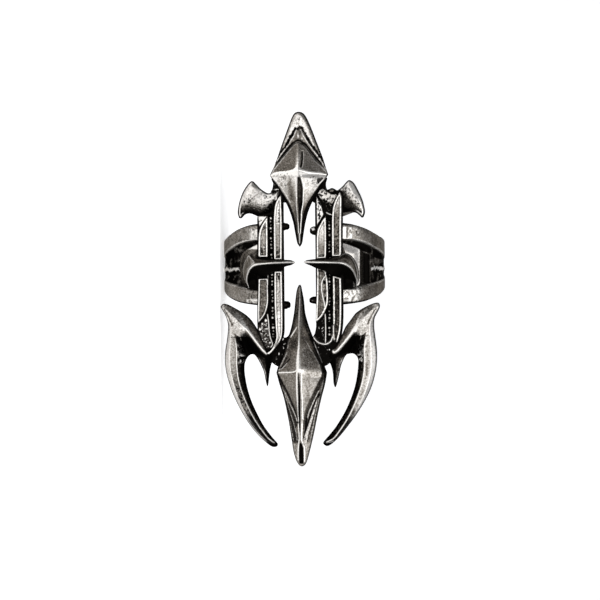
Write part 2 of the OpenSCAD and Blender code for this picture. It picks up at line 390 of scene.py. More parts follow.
def mesh_relief(R, back, place=None, flip=False, grid_back=False, wall_dark=0.85, back_dark=0.12, rows=3, name=None):
    """Builds a relief as a closed solid. back is its underside's height, a number or a field."""
    h, D = R.h, R.D
    if np.isscalar(back):
        back = np.full(D.shape, float(back))
    cells = (D[:-1, :-1] + D[1:, :-1] + D[:-1, 1:] + D[1:, 1:]) > 0
    k = np.unravel_index(np.argmax(D[:-1, :-1] * cells), cells.shape)
    seen = np.zeros_like(cells)
    seen[k] = True
    while True:
        g = seen.copy()
        g[1:] |= seen[:-1]
        g[:-1] |= seen[1:]
        g[:, 1:] |= seen[:, :-1]
        g[:, :-1] |= seen[:, 1:]
        g &= cells
        if (g == seen).all():
            break
        seen = g
    cells = seen
    for _ in range(8):
        a, b, c, d = cells[:-1, :-1], cells[:-1, 1:], cells[1:, :-1], cells[1:, 1:]
        bad1, bad2 = a & d & ~b & ~c, b & c & ~a & ~d
        if not (bad1 | bad2).any():
            break
        new = cells.copy()
        new[:-1, 1:] |= bad1
        new[1:, :-1] |= bad1
        new[:-1, :-1] |= bad2
        new[1:, 1:] |= bad2
        cells = new
    big = np.pad(cells, 1)
    around = [big[:-1, :-1], big[:-1, 1:], big[1:, :-1], big[1:, 1:]]
    used = around[0] | around[1] | around[2] | around[3]
    inner = around[0] & around[1] & around[2] & around[3]
    rim = used & ~inner
    PX, PY = np.where(rim, R.CX, R.X), np.where(rim, R.CY, R.Y)
    soft = inner & (D < 2.5 * h)
    for _ in range(4):
        for P in (PX, PY):
            m = P.copy()
            m[1:-1, 1:-1] = (P[:-2, 1:-1] + P[2:, 1:-1] + P[1:-1, :-2] + P[1:-1, 2:]) / 4
            P[soft] = m[soft]
    idx = np.full(D.shape, -1)
    n = int(used.sum())
    idx[used] = np.arange(n)
    x, y = PX[used], PY[used]
    z = R.sample(R.Z, x, y)
    tone = np.stack([R.sample(F, x, y) for F in (R.dark, R.bright, R.pit, R.shade)], 1)
    ci, cj = np.nonzero(cells)
    quads = np.stack([idx[ci, cj], idx[ci, cj + 1], idx[ci + 1, cj + 1], idx[ci + 1, cj]], 1)
    c = np.pad(cells, 1)
    I, J = ci + 1, cj + 1
    ed = []
    for off, (p, q) in (((-1, 0), (0, 1)), ((0, 1), (1, 2)), ((1, 0), (2, 3)), ((0, -1), (3, 0))):
        free = ~c[I + off[0], J + off[1]]
        ed.append(quads[free][:, [p, q]])
    ed = np.vstack(ed)
    rim_ids = np.unique(ed)
    local = np.full(n, -1)
    local[rim_ids] = np.arange(len(rim_ids))
    nb = len(rim_ids)
    bx, by, bz = x[rim_ids], y[rim_ids], z[rim_ids]
    gy, gx = np.gradient(gauss(D, 1.2), h)
    nx_, ny_ = R.sample(gx, bx, by), R.sample(gy, bx, by)
    ln = np.maximum(np.hypot(nx_, ny_), 1e-6)
    nx_, ny_ = nx_ / ln, ny_ / ln
    zb = R.sample(back, bx, by)
    low = zb + (0 if grid_back else 0.1)
    V, T = [np.stack([x, y, z], 1)], [tone]
    sh = tone[rim_ids, 3]
    for i in range(1, rows + 1):
        f = i / rows
        V.append(np.stack([bx, by, bz + (low - bz) * f], 1))
        T.append(np.stack([wall_dark + (0.45 - wall_dark) * max(0, 2 * f - 1) + np.zeros(nb), tone[rim_ids, 1] * (1 - f) * 0.3,
                           np.full(nb, 0.3), 0.4 + 0 * sh], 1))
    if not grid_back:
        V.append(np.stack([bx + nx_ * 0.03, by + ny_ * 0.03, zb + 0.03], 1))
        V.append(np.stack([bx + nx_ * 0.1, by + ny_ * 0.1, zb], 1))
        T += [np.tile([0.15, 0.2, 0.3, 0.5], (nb, 1)), np.tile([0.04, 0.02, 0.2, 0.5], (nb, 1))]
    rings = len(V) - 1
    wall = []
    a, b = ed[:, 0], ed[:, 1]
    pa, pb = a, b
    for i in range(rings):
        qa, qb = n + i * nb + local[a], n + i * nb + local[b]
        wall.append(np.stack([pb, pa, qa, qb], 1))
        pa, pb = qa, qb
    ngons = []
    if grid_back:
        ids = np.full(n, -1)
        inner_ids = idx[inner]
        ids[rim_ids] = n + (rings - 1) * nb + np.arange(nb)
        ids[inner_ids] = n + rings * nb + np.arange(len(inner_ids))
        ix, iy = x[inner_ids], y[inner_ids]
        V.append(np.stack([ix, iy, R.sample(back, ix, iy)], 1))
        T.append(np.tile([back_dark * 0.4, 0.02, 0.2, 0.5], (len(inner_ids), 1)))
        wall.append(ids[quads][:, ::-1])
    else:
        nxt = dict(zip(a.tolist(), b.tolist()))
        left = set(nxt)
        while left:
            s = left.pop()
            loop, cur = [s], nxt[s]
            while cur != s:
                loop.append(cur)
                left.discard(cur)
                cur = nxt[cur]
            ngons.append([n + (rings - 1) * nb + local[v] for v in loop[::-1]])
    P, T = np.vstack(V), np.vstack(T)
    if place is not None:
        P = place(P)
    quads = np.vstack([quads] + wall)
    if flip:
        P = P * np.array([-1, 1, 1])
        quads = quads[:, ::-1]
        ngons = [g[::-1] for g in ngons]
    add_part(name or R.name, P, quads, ngons, T)


# ---------------------------------------------------------------- material

def metal(name):
    """Antiqued white metal: worn bright ridges, satin grey facets, blackened hollows."""
    seed = sum(ord(ch) for ch in name) % 97
    mat = bpy.data.materials.new("antiqued_metal_" + name)
    mat.use_nodes = True
    nt = mat.node_tree
    nt.nodes.clear()
    new, link = nt.nodes.new, nt.links.new

    def math_node(op, a, b=None, clamp=False):
        n = new("ShaderNodeMath")
        n.operation, n.use_clamp = op, clamp
        for i, v in enumerate((a, b)):
            if v is None:
                continue
            if isinstance(v, (int, float)):
                n.inputs[i].default_value = v
            else:
                link(v, n.inputs[i])
        return n.outputs[0]

    def noise_node(scale, detail=4.0, rough=0.6):
        n = new("ShaderNodeTexNoise")
        n.inputs["Scale"].default_value = scale
        n.inputs["Detail"].default_value = detail
        n.inputs["Roughness"].default_value = rough
        link(shifted, n.inputs["Vector"])
        return n.outputs["Fac"]

    def ramp(fac, stops):
        n = new("ShaderNodeValToRGB")
        el = n.color_ramp.elements
        while len(el) < len(stops):
            el.new(0.5)
        for e, (pos, v) in zip(el, stops):
            e.position = pos
            e.color = (v, v, v, 1) if isinstance(v, (int, float)) else (*v, 1)
        link(fac, n.inputs[0])
        return n.outputs[0]

    def mix(fac, a, b):
        n = new("ShaderNodeMix")
        n.data_type = "RGBA"
        link(fac, n.inputs["Factor"])
        for sock, v in ((n.inputs["A"], a), (n.inputs["B"], b)):
            if isinstance(v, tuple):
                sock.default_value = (*v, 1)
            else:
                link(v, sock)
        return n.outputs["Result"]

    coord = new("ShaderNodeTexCoord")
    off = new("ShaderNodeVectorMath")
    off.operation = "ADD"
    off.inputs[1].default_value = (seed * 0.013, seed * 0.007, seed * 0.011)
    link(coord.outputs["Object"], off.inputs[0])
    shifted = off.outputs[0]
    att = new("ShaderNodeAttribute")
    att.attribute_name = "tone"
    sep = new("ShaderNodeSeparateColor")
    link(att.outputs["Color"], sep.inputs[0])
    dark, bright, pit = sep.outputs[0], sep.outputs[1], sep.outputs[2]
    # shade holds the patina's depth and also the painted light and shade of the facets
    shade = att.outputs["Alpha"]
    patches = noise_node(900, 3, 0.55)
    grain = noise_node(5200, 5, 0.7)
    fine = noise_node(14000, 3, 0.6)
    # The patina lies deeper in the grain's hollows and is worn off its peaks
    broken = math_node("MULTIPLY", math_node("SUBTRACT", grain, 0.5), 1.0)
    tone = math_node("ADD", shade, math_node("MULTIPLY", math_node("SUBTRACT", patches, 0.5), 0.18))
    tone = math_node("ADD", tone, math_node("MULTIPLY", broken, 1.15), clamp=True)
    body = ramp(tone, [(0.0, (0.012, 0.0102, 0.0084)), (0.2, (0.050, 0.0436, 0.0366)), (0.35, (0.125, 0.1095, 0.0925)),
                       (0.5, (0.235, 0.213, 0.187)), (0.7, (0.465, 0.437, 0.401)), (0.85, (0.72, 0.687, 0.650)),
                       (1.0, (0.93, 0.900, 0.864))])
    half = math_node("MULTIPLY", bright, math_node("SUBTRACT", 1.0, bright))
    worn = math_node("ADD", bright, math_node("MULTIPLY", broken, math_node("MULTIPLY", half, 9.0)), clamp=True)
    colour = mix(worn, body, (0.93, 0.900, 0.858))
    half = math_node("MULTIPLY", dark, math_node("SUBTRACT", 1.0, dark))
    black = math_node("ADD", math_node("MULTIPLY", dark, 1.04), math_node("MULTIPLY", broken, math_node("MULTIPLY", half, -5.5)), clamp=True)
    speck = math_node("MULTIPLY", ramp(fine, [(0.56, 0.0), (0.68, 1.0)]), math_node("MULTIPLY", pit, 0.6))
    black = math_node("MAXIMUM", black, speck)
    colour = mix(black, colour, (0.0055, 0.0048, 0.0042))
    rough = math_node("ADD", math_node("MULTIPLY", grain, 0.22), 0.26)
    rough = math_node("ADD", rough, math_node("MULTIPLY", black, 0.25), clamp=True)
    rough = math_node("SUBTRACT", rough, math_node("MULTIPLY", worn, 0.10), clamp=True)
    height = math_node("ADD", math_node("MULTIPLY", grain, 0.6), math_node("MULTIPLY", fine, 0.35))
    bmp = new("ShaderNodeBump")
    bmp.inputs["Strength"].default_value = 0.22
    bmp.inputs["Distance"].default_value = 0.00006
    link(height, bmp.inputs["Height"])
    bsdf = new("ShaderNodeBsdfPrincipled")
    bsdf.inputs["Metallic"].default_value = 1.0
    bsdf.inputs["Specular Tint"].default_value = (0.3, 0.3, 0.3, 1)
    link(colour, bsdf.inputs["Base Color"])
    link(rough, bsdf.inputs["Roughness"])
    link(bmp.outputs[0], bsdf.inputs["Normal"])
    out = new("ShaderNodeOutputMaterial")
    link(bsdf.outputs[0], out.inputs["Surface"])
    return mat


# ---------------------------------------------------------------- spearheads

def upper_spearhead():
    right = [(0.60, 20.42), (1.05, 19.85), (1.66, 18.5), (2.50, 16.28), (3.17, 14.5), (3.59, 13.15),
             (3.92, 12.12), (2.92, 10.45), (1.93, 8.8), (1.22, 7.25), (0.80, 5.7), (0.55, 4.3), (0.33, 2.95)]
    left = [(-0.32, 2.95), (-0.58, 4.3), (-0.83, 5.68), (-1.29, 7.23), (-1.98, 8.77), (-2.92, 10.48),
            (-3.94, 12.06), (-3.50, 12.95), (-2.98, 14.24), (-2.30, 16.14), (-1.42, 18.5), (-0.92, 19.8),
            (-0.52, 20.42)]
    loop = smooth([(0.05, 20.6)] + right + [(0.03, 2.42)] + left, corners=(7, 14, 21), closed=True)
    R = Relief("upper_spearhead", loop, h=0.06)
    X, Y = R.X, R.Y
    # The kite's upper edges, then down the outline
    kite_l = [(-3.63, 12.37), (-3.46, 12.76), (-3.22, 13.07), (-2.9, 13.47), (-2.58, 13.86), (-2.27, 14.25), (-1.95, 14.64),
            (-1.63, 15.03), (-1.31, 15.43), (-0.99, 15.82), (-0.67, 16.13), (-0.35, 16.35)]
    kite_r = [(-0.07, 16.46), (0.16, 16.4), (0.4, 16.19), (0.67, 16.04), (1.07, 15.64), (1.46, 15.09), (1.85, 14.61),
            (2.24, 14.05), (2.63, 13.65), (3.02, 13.25), (3.41, 12.86), (3.72, 12.46)]
    low_r, low_l = right[6:], left[:7]
    top_edge = smooth([(-3.9, 12.1)] + kite_l + kite_r + [(3.88, 12.16)])
    kite_loop = np.vstack([top_edge, smooth(low_r)[1:], [(0.03, 2.42)], smooth(low_l)[:-1]])
    K = signed(X, Y, kite_loop)[0]
    xk = np.where(X > 0, table([(y, x) for x, y in kite_r] + [(y, x) for x, y in low_r] + [(2.42, 0.04)], Y),
                  table([(y, -x) for x, y in kite_l] + [(y, -x) for x, y in low_l] + [(2.42, 0.04), (16.45, 0.0)], Y))
    s = np.clip(np.abs(X - 0.02) / np.maximum(xk, 0.03), 0, 1)
    lift = 0.45 * (1 - s) ** 1.5 * rise(Y - 9, 2)
    centre = table([(2.42, 11.0), (4.3, 11.4), (7.0, 12.0), (9.5, 12.65), (11.4, 13.3), (12.28, 13.68),
                    (13.2, 13.08), (16.0, 11.95), (17, 11.9)], Y - lift)
    rim = table([(2.42, 10.85), (7.0, 11.0), (10.5, 11.25), (12.12, 11.5), (16.45, 11.75), (20.6, 11.7)], Y)
    low = rise(12.2 - Y, 0.6)
    kite = centre + (rim - centre) * s - 0.22 * 4 * s * (1 - s) * low * rise(Y - 4, 4)
    # The plate around the kite: a smooth rim, then a sunken V
    plate = 10.72 + 0.62 * np.sqrt(np.clip(1 - (1 - np.clip(R.D / 0.75, 0, 1)) ** 2, 0, 1))
    v_line = np.array([(-3.29, 13.63), (-3.09, 14.1), (-2.85, 14.57), (-2.6, 14.92), (-2.4, 15.2), (-2.13, 15.55), (-1.85, 15.9),
            (-1.56, 16.38), (-1.32, 16.85), (-1.12, 17.36), (-0.88, 17.52), (-0.6, 18.03), (-0.42, 18.46), (-0.12, 18.35),
            (0.19, 18.57), (0.43, 18.45), (0.66, 18.02), (0.9, 17.58), (1.13, 17.34), (1.21, 17.02), (1.44, 16.59), (1.75, 16.11),
            (2.06, 15.71), (2.38, 15.23), (2.69, 14.76), (3, 14.44), (3.19, 14.08), (3.43, 13.64), (3.66, 13.09)])
    v_in = inside(X, Y, np.vstack([v_line, [(3.9, 12.1), (-3.9, 12.1)]]))
    dv = near(X, Y, v_line)[0]
    V = rise(np.where(v_in, dv, -dv) + 0.05, 0.14)
    facet = 11.02 + 0.5 * np.clip(1 - np.abs(X) / 1.0, 0, 1) * bump(np.abs(Y - 17.3), 1.2)
    Z = plate + (facet - plate) * V
    in_kite = rise(K + 0.06, 0.12)
    R.Z = Z + (kite - Z) * in_kite
    # Tones
    above = near(X, Y, smooth([(-3.56, 12.25), (-3.16, 12.43), (-2.45, 12.53), (-1.66, 12.59), (-1.03, 12.7), (-0.55, 12.85),
            (-0.23, 13.2), (-0.11, 13.4), (0.08, 13.19), (0.39, 12.88), (0.87, 12.72), (1.5, 12.52), (2.29, 12.43), (2.92, 12.39),
            (3.39, 12.22), (3.78, 11.97)]))
    over = rise(Y - above[2], 0.06) * in_kite
    under = in_kite * (1 - over)
    plate_zone = (1 - V) * (1 - in_kite)
    R.shade = 0.5 * np.ones(X.shape)
    # The rim: bright, as painted light where it faces the light, with a dark line along its edge and rough casting at
    # its middle
    R.shade += plate_zone * (0.40 + 0.06 * noise(X, Y, 0.5, 11))
    rough = plate_zone * rise(Y - 17.4, 1) * bump(np.abs(X), 1.0) * (1 - rise(Y - 19.6, 0.5))
    R.shade -= 0.28 * rough * rise(noise(X, Y, 0.22, 31) - 0.1, 0.2)
    R.dark = np.maximum(R.dark, 0.9 * rough * rise(noise(X, Y, 0.14, 32) - 0.42, 0.1))
    band = R.edge(0.16, 0.12) * rise(Y - 12.3, 0.3)
    R.dark = np.maximum(R.dark, 0.88 * band)
    R.shade -= plate_zone * 0.28 * R.edge(0.28, 0.25) * (1 + 0.5 * noise(X, Y, 0.2, 34))
    R.dark = np.maximum(R.dark, 0.55 * bump(np.abs(R.D - 0.36), 0.08) * (X > 0) * rise(Y - 15.6, 0.6))
    # The sunken V: grey, with a light line inside its torn black edge and a black arch over the kite, painted shadow
    R.shade -= 0.06 * V * (1 - in_kite) - 0.12 * V * (1 - in_kite) * noise(X, Y, 0.5, 21)
    R.dark = np.maximum(R.dark, 0.6 * V * (1 - in_kite) * rise(noise(X, Y, 0.4, 22) - 0.25, 0.2) * rise(Y - 16.3, 0.4))
    arch_shadow = (1 - rise(np.abs(K + 0.26) - 0.11 - 0.06 * noise(X, Y, 0.5, 23), 0.08)) * v_in
    R.dark = np.maximum(R.dark, 0.97 * arch_shadow)
    for l, v in (([(-3.53, 12.92), (-3.37, 13.23), (-3.17, 13.67), (-2.93, 14.06), (-2.69, 14.45), (-2.41, 14.88), (-2.09, 15.28),
            (-1.73, 15.75), (-1.41, 16.18), (-1.17, 16.61), (-0.97, 16.85), (-0.69, 17.24), (-0.49, 17.71), (-0.28, 18.18)], 0.72),
            ([(0.35, 18.18), (0.5, 17.7), (0.73, 17.22), (1.05, 16.75), (1.44, 16.11), (1.75, 15.71), (2.14, 15.16), (2.45, 14.76),
            (2.84, 14.2), (3.15, 13.73), (3.46, 13.17), (3.77, 12.61)], 0.78)):
        R.line(np.column_stack([smooth(l), np.full(len(smooth(l)), 1.0)]), 0.13, 0.06, v)
    ds = near(X, Y, v_line)[0] + 0.13 * noise(X, Y, 0.25, 8)
    tear = (1 - rise(ds - 0.10, 0.07)) * (1 - in_kite) * rise(Y - 12.7, 0.3)
    R.Z -= 0.2 * tear
    R.dark = np.maximum(R.dark, tear)
    R.bright *= 1 - tear
    spot = bump(np.hypot((X + 0.04) / 0.17, (Y - 17.33) / 0.45), 1.0)
    spot = np.maximum(spot, 0.6 * bump(np.hypot((X - 0.45) / 0.16, (Y - 16.92) / 0.3), 1.0))
    R.bright = np.maximum(R.bright, spot)
    R.dark *= 1 - spot
    # The upper facets, darkened as painted shade, the right one less, with a thin light line along their edge and a
    # soft painted highlight along the ridge and beside the slit
    R.shade += over * (-0.15 + 0.13 * rise(X, 0.5) + 0.05 * noise(X, Y, 0.7, 24))
    edge_line = bump(np.abs(K - 0.04), 0.15) * rise(Y - above[2], 0.1)
    R.bright = np.maximum(R.bright, 0.75 * edge_line)
    R.dark *= 1 - 0.9 * edge_line
    ridge = near(X, Y, [(0.06, 16.0, 0.12), (0.0, 14.6, 0.3), (-0.06, 13.3, 0.6)])
    R.shade += over * ridge[3] * bump(ridge[0], 0.42)
    R.shade += over * 0.12 * bump(np.abs(X - 0.22), 0.22) * bump(np.abs(Y - 14.4), 1.4)
    slit = smooth([(0.53, 15.17), (0.55, 14.46), (0.52, 13.83), (0.45, 13.2)])
    dslit = near(X, Y, slit)[0] + 0.02 * noise(X, Y, 0.25, 25)
    R.shade += over * 0.2 * bump(np.abs(dslit - 0.19), 0.12) * (X > 0.4)
    cut = 1 - rise(dslit - 0.08, 0.06)
    R.Z -= 0.22 * cut
    R.dark = np.maximum(R.dark, cut)
    # The bright ridge across, and the lower facets painted with light and shade: white just under the ridge, darkening
    # downwards, with a darker painted streak on the left, lighter on the right
    fall = table([(2, -0.3), (5.5, -0.2), (7.5, -0.05), (8.6, 0.04), (9.6, 0.14), (10.6, 0.30), (11.4, 0.42), (13, 0.46)],
                 Y + 0.25 * noise(X, Y, 0.8, 26) - 0.25 * (X < 0))
    streak = near(X, Y, smooth([(-1.09, 11.87), (-1.18, 10.92), (-1.03, 9.89), (-0.93, 8.71)]))[0]
    R.shade += under * (fall - 0.32 * bump(streak, 0.62) * rise(11.95 - Y, 0.6) * rise(Y - 8.2, 1))
    R.shade += under * 0.09 * rise(X - 0.6, 0.4)
    R.shade -= under * 0.25 * bump(np.abs(K - 0.45), 0.5) * (X > 0) * rise(10.0 - Y, 1.5)
    across = near(X, Y, smooth([(-3.72, 12.02), (-3.3, 12.26), (-2.6, 12.36), (-1.7, 12.42), (-0.9, 12.55), (-0.2, 12.8), (0.4, 12.66),
                                (1.3, 12.36), (2.3, 12.28), (3.0, 12.24), (3.75, 11.98)]))[0]
    b = bump(across, 0.22)
    R.Z += 0.04 * b * in_kite
    R.bright = np.maximum(R.bright, 0.95 * b * in_kite)
    R.bright = np.maximum(R.bright, under * 0.85 * rise(Y - 11.85, 0.35))
    R.dark *= 1 - 0.95 * under * rise(Y - 12.0, 0.1)
    mottle = under * rise(Y - 9.8, 1.2) * (1 - b)
    R.shade -= 0.15 * mottle * rise(noise(X, Y, 0.2, 27) - 0.15, 0.2)
    R.shade -= 0.14 * mottle * rise(noise(X, Y, 0.6, 28) - 0.1, 0.3)
    R.dark = np.maximum(R.dark, 0.8 * mottle * rise(noise(X, Y, 0.17, 35) - 0.42 + 0.15 * (X < 0), 0.1) * rise(np.abs(X) - 0.9, 0.5))
    crumbs = under * rise(noise(X, Y, 0.22, 36) + 0.1, 0.2) * bump(np.clip(R.D, 0, None), 0.5) * rise(11.9 - Y, 0.5)
    R.dark = np.maximum(R.dark, 0.9 * crumbs)
    # The groove down the middle, between two bright ridges
    for l, v in (([(-0.3, 11.78), (-0.31, 10.91), (-0.31, 9.33), (-0.35, 8.07), (-0.31, 7.36), (-0.26, 6.33), (-0.15, 5.38),
            (-0.12, 4.28)], 1.0), ([(0.37, 11.94), (0.53, 11.3), (0.67, 10.75), (0.71, 10.12), (0.64, 9.33), (0.58, 8.54),
            (0.48, 7.75), (0.38, 7.12), (0.36, 6.48), (0.28, 5.77), (0.21, 4.98), (0.15, 4.27)], 1.0)):
        l = smooth(l)
        w = np.interp(-Y, [-12, -9, -4.2], [0.15, 0.13, 0.11])
        b = bump(near(X, Y, l)[0] / w, 1.0) * under
        R.Z += 0.06 * b
        R.bright = np.maximum(R.bright, v * b)
        R.dark *= 1 - b
    gl, gr = smooth([(-0.09, 11.74), (-0.12, 10.52), (-0.15, 9.33), (-0.12, 8.15), (-0.09, 7.36), (-0.07, 6.57), (-0.04, 5.38),
            (-0.02, 4.59)]), smooth([(0.3, 11.74), (0.53, 10.51), (0.52, 9.33), (0.45, 8.14), (0.28, 7.35), (0.19, 6.56),
            (0.14, 5.38), (0.09, 4.59)])
    trench = np.vstack([gl, [(0.03, 3.3)], gr[::-1]])
    G = signed(X, Y, trench)[0]
    g = rise(G + 0.03, 0.08)
    R.Z -= 0.42 * g * table([(3, 0.3), (6, 0.6), (9, 1.0), (11.8, 0.9)], Y)
    R.shade = R.shade * (1 - g) + 0.30 * g
    inkiness = table([(3, 1.0), (8.2, 1.0), (8.8, 0.72), (10.5, 0.62), (11.9, 0.75)], Y)
    R.dark = np.maximum(R.dark, g * np.clip(inkiness + 0.25 * noise(X, Y, 0.3, 29) + 0.3 * bump(G, 0.12), 0, 1))
    R.bright *= 1 - g
    R.line(smooth([(0.03, 4.2, 0.5), (0.02, 3.4, 0.9), (0.03, 2.7, 0.6)]), 0.12, 0.05, 0.8)
    # Black along the lower edges, with a thin light line inside it
    w = table([(2.4, 0.16), (3.5, 0.2), (5, 0.30), (6.5, 0.38), (8, 0.42), (9.2, 0.34), (10.4, 0.24), (11.8, 0.12)], Y)
    w = w * np.where(X > 0, 1.1, 0.85)
    side = (1 - rise(np.clip(R.D, 0, None) - w, 0.12)) * rise(12.0 - Y, 0.4)
    R.dark = np.maximum(R.dark, 0.98 * side)
    R.bright *= 1 - side
    blotch = R.area([(2.44, 11.44), (2.6, 11.64), (2.99, 11.63), (3.32, 11.71), (3.19, 11.36), (2.91, 11.04), (2.59, 10.77), (2.47, 10.97)], 0.12)
    R.Z -= 0.12 * blotch
    R.dark = np.maximum(R.dark, 0.93 * blotch)
    R.bright *= 1 - blotch
    for l, v in (([(3.78, 11.9), (3.38, 11.51), (2.98, 11.12), (2.58, 10.71), (2.18, 10.18), (1.86, 9.75)], 0.6), ([(-3.57, 11.85),
            (-2.95, 11.17), (-2.32, 10.44), (-2.13, 10.14), (-1.78, 9.5), (-1.39, 8.79), (-1.16, 8.39)], 0.65)):
        R.line(np.column_stack([smooth(l), np.full(len(smooth(l)), 1.0)]), 0.10, 0.03, v)
    R.outline(0.2, 0.85, rise(12.9 - Y, 0.5) * rise(Y - 11.2, 0.5))
    R.soften(0.04)
    mesh_relief(R, 10.3)


def lower_spearhead():
    right = [(0.12, -2.85), (0.22, -3.36), (0.46, -4.7), (0.63, -6.45), (1.03, -7.98), (1.58, -9.54),
             (2.44, -11.75), (3.11, -13.43), (3.5, -14.5), (3.21, -16.06), (2.75, -17.73), (2.24, -19.88),
             (1.65, -22.7), (1.16, -24.71), (0.67, -26.43), (0.33, -26.95)]
    left = [(-0.33, -26.9), (-0.74, -26.24), (-1.1, -24.98), (-1.27, -23.77), (-1.66, -21.09), (-2.27, -18.0),
            (-2.91, -15.85), (-3.25, -14.44), (-2.97, -13.43), (-2.35, -11.75), (-1.65, -9.7), (-1.21, -8.33),
            (-0.84, -6.45), (-0.64, -4.7), (-0.45, -3.36), (-0.2, -2.75)]
    loop = smooth([(-0.04, -2.6)] + right + [(0.0, -27.07)] + left, corners=(0, 9, 25), closed=True)
    R = Relief("lower_spearhead", loop, h=0.06)
    X, Y = R.X, R.Y
    xo = np.where(X > 0, table([(y, x) for x, y in right] + [(-2.6, 0.02), (-27.07, 0.05)], Y),
                  table([(y, -x) for x, y in left] + [(-2.6, 0.05), (-27.07, 0.05)], Y))
    ll_edge = [(-3.15, -14.40)] + [(-3.14, -14.4), (-2.57, -15.58), (-2.02, -16.48), (-1.58, -17.38), (-1.14, -18.5),
            (-0.71, -19.51), (-0.49, -20.63)]
    lr_edge = [(2.86, -14.5)] + [(2.82, -15.07), (2.32, -15.85), (1.72, -17.07), (1.15, -18.19), (0.72, -19.08), (0.44, -19.97), (0.27, -20.78)]
    ur_edge = [(0.46, -9.63), (0.99, -10.53), (1.34, -11.25), (2.05, -12.33), (2.57, -13.41), (2.83, -14.13), (2.85, -14.62)]
    xr = table([(y, x) for x, y in lr_edge + ur_edge[:5]] + [(-2.6, 0.02), (-4.7, 0.2), (-6.5, 0.3), (-8.3, 0.42), (-21.6, 0.2), (-27.1, 0.2)], Y)
    xl = table([(y, -x) for x, y in ll_edge] + [(-2.6, 0.02), (-4.7, 0.25), (-6.5, 0.5), (-8.3, 0.85), (-9.7, 1.3), (-11.7, 1.95),
                                               (-13.6, 2.75), (-21.2, 0.3), (-27.1, 0.2)], Y)
    xc = -0.12 + 0.12 * rise(Y + 8, 4)
    xk = np.where(X > xc, xr - xc, xl + xc)
    ax = np.abs(X - xc)
    s = np.clip(ax / np.maximum(xk, 0.03), 0, 1)
    t = np.clip((ax - xk) / np.maximum(xo - xk, 0.05), 0, 1)
    lift = 0.12 * (1 - s) * rise(Y + 17, 2)
    centre = table([(-2.6, 11.0), (-4.7, 11.5), (-6.5, 11.95), (-8.3, 12.35), (-11.8, 13.1), (-14.1, 13.7),
                    (-14.5, 13.68), (-17.5, 12.8), (-21.2, 11.75), (-23.7, 11.45), (-27.1, 11.0)], Y - lift)
    edge = table([(-2.6, 10.9), (-6.5, 11.35), (-9.5, 11.75), (-14.3, 11.95), (-18, 11.65), (-21.2, 11.45),
                  (-27.1, 10.95)], Y)
    rim = table([(-2.6, 10.8), (-9.5, 10.95), (-14.3, 10.95), (-22, 10.85), (-27.1, 10.7)], Y)
    R.Z = np.where(ax < xk, centre + (edge - centre) * s, edge + (rim - edge) * t)
    R.round_edges(0.16, 0.8)
    kite = rise(xk - ax + 0.04, 0.08)
    top = rise(Y - lift + 14.25 - 0.1 * noise(X, Y, 0.3, 46) * (X > 0.4) + 0.15 * (X > 0.4), 0.15 + 0.4 * (X > 0.4))
    left_side, right_side = (X < xc), (X >= xc)
    grainy = noise(X, Y, 0.16, 44)
    R.shade = 0.5 * np.ones(X.shape)
    # Upper facets: dark as painted shade, the left one darker, lighter towards the ridge and at the point as a painted
    # highlight
    u = table([(-3, 0.02), (-7, -0.05), (-9, -0.14), (-10.3, -0.24), (-12, -0.2), (-14.3, -0.08)], Y)
    R.shade += kite * top * np.where(left_side, u - 0.05, u * 0.8) + kite * top * 0.06 * noise(X, Y, 0.8, 47)
    R.dark = np.maximum(R.dark, kite * top * 0.6 * R.area([(-0.35, -9.6), (-1.1, -10.0), (-1.25, -11.2), (-0.5, -11.2)], 0.6) * left_side)
    R.dark = np.maximum(R.dark, kite * top * 0.35 * R.area([(0.48, -11.42), (1.02, -11.07), (2.26, -12.87), (2.61, -13.77),
            (2.24, -14.08), (0.45, -13.93)], 0.7))
    hit = kite * top * right_side * rise(noise(X, Y, 0.18, 48) - 0.5, 0.1) * bump(np.abs(Y + 12.4), 1.4)
    R.bright = np.maximum(R.bright, 0.5 * hit)
    # Lower facets, painted light and shade: grey on the left, brightest at the top on the right, finely grained
    R.shade += kite * (1 - top) * left_side * (-0.07 + 0.12 * rise(X + 0.65, 0.3) + 0.03 * grainy)
    r = table([(-14.2, 0.10), (-15.5, 0.14), (-17, 0.15), (-18.5, 0.12), (-20.5, 0.18)], Y) + 0.10 * rise(X - 1.2, 1.2) * rise(-15.6 - Y, 1.2)
    R.shade += kite * (1 - top) * right_side * (r + 0.16 * grainy - 0.10 * bump(np.abs(X - 1.0), 0.5) * rise(-15 - Y, 1))
    R.shade += kite * top * right_side * 0.05
    R.shade += kite * top * 0.20 * bump(np.abs(X + 0.12), 1.3) * table([(-3, 0.9), (-9, 0.4), (-11, 0.5), (-14.3, 1.0)], Y)
    R.shade -= 0.12 * rise(-22.0 - Y, 1.5)
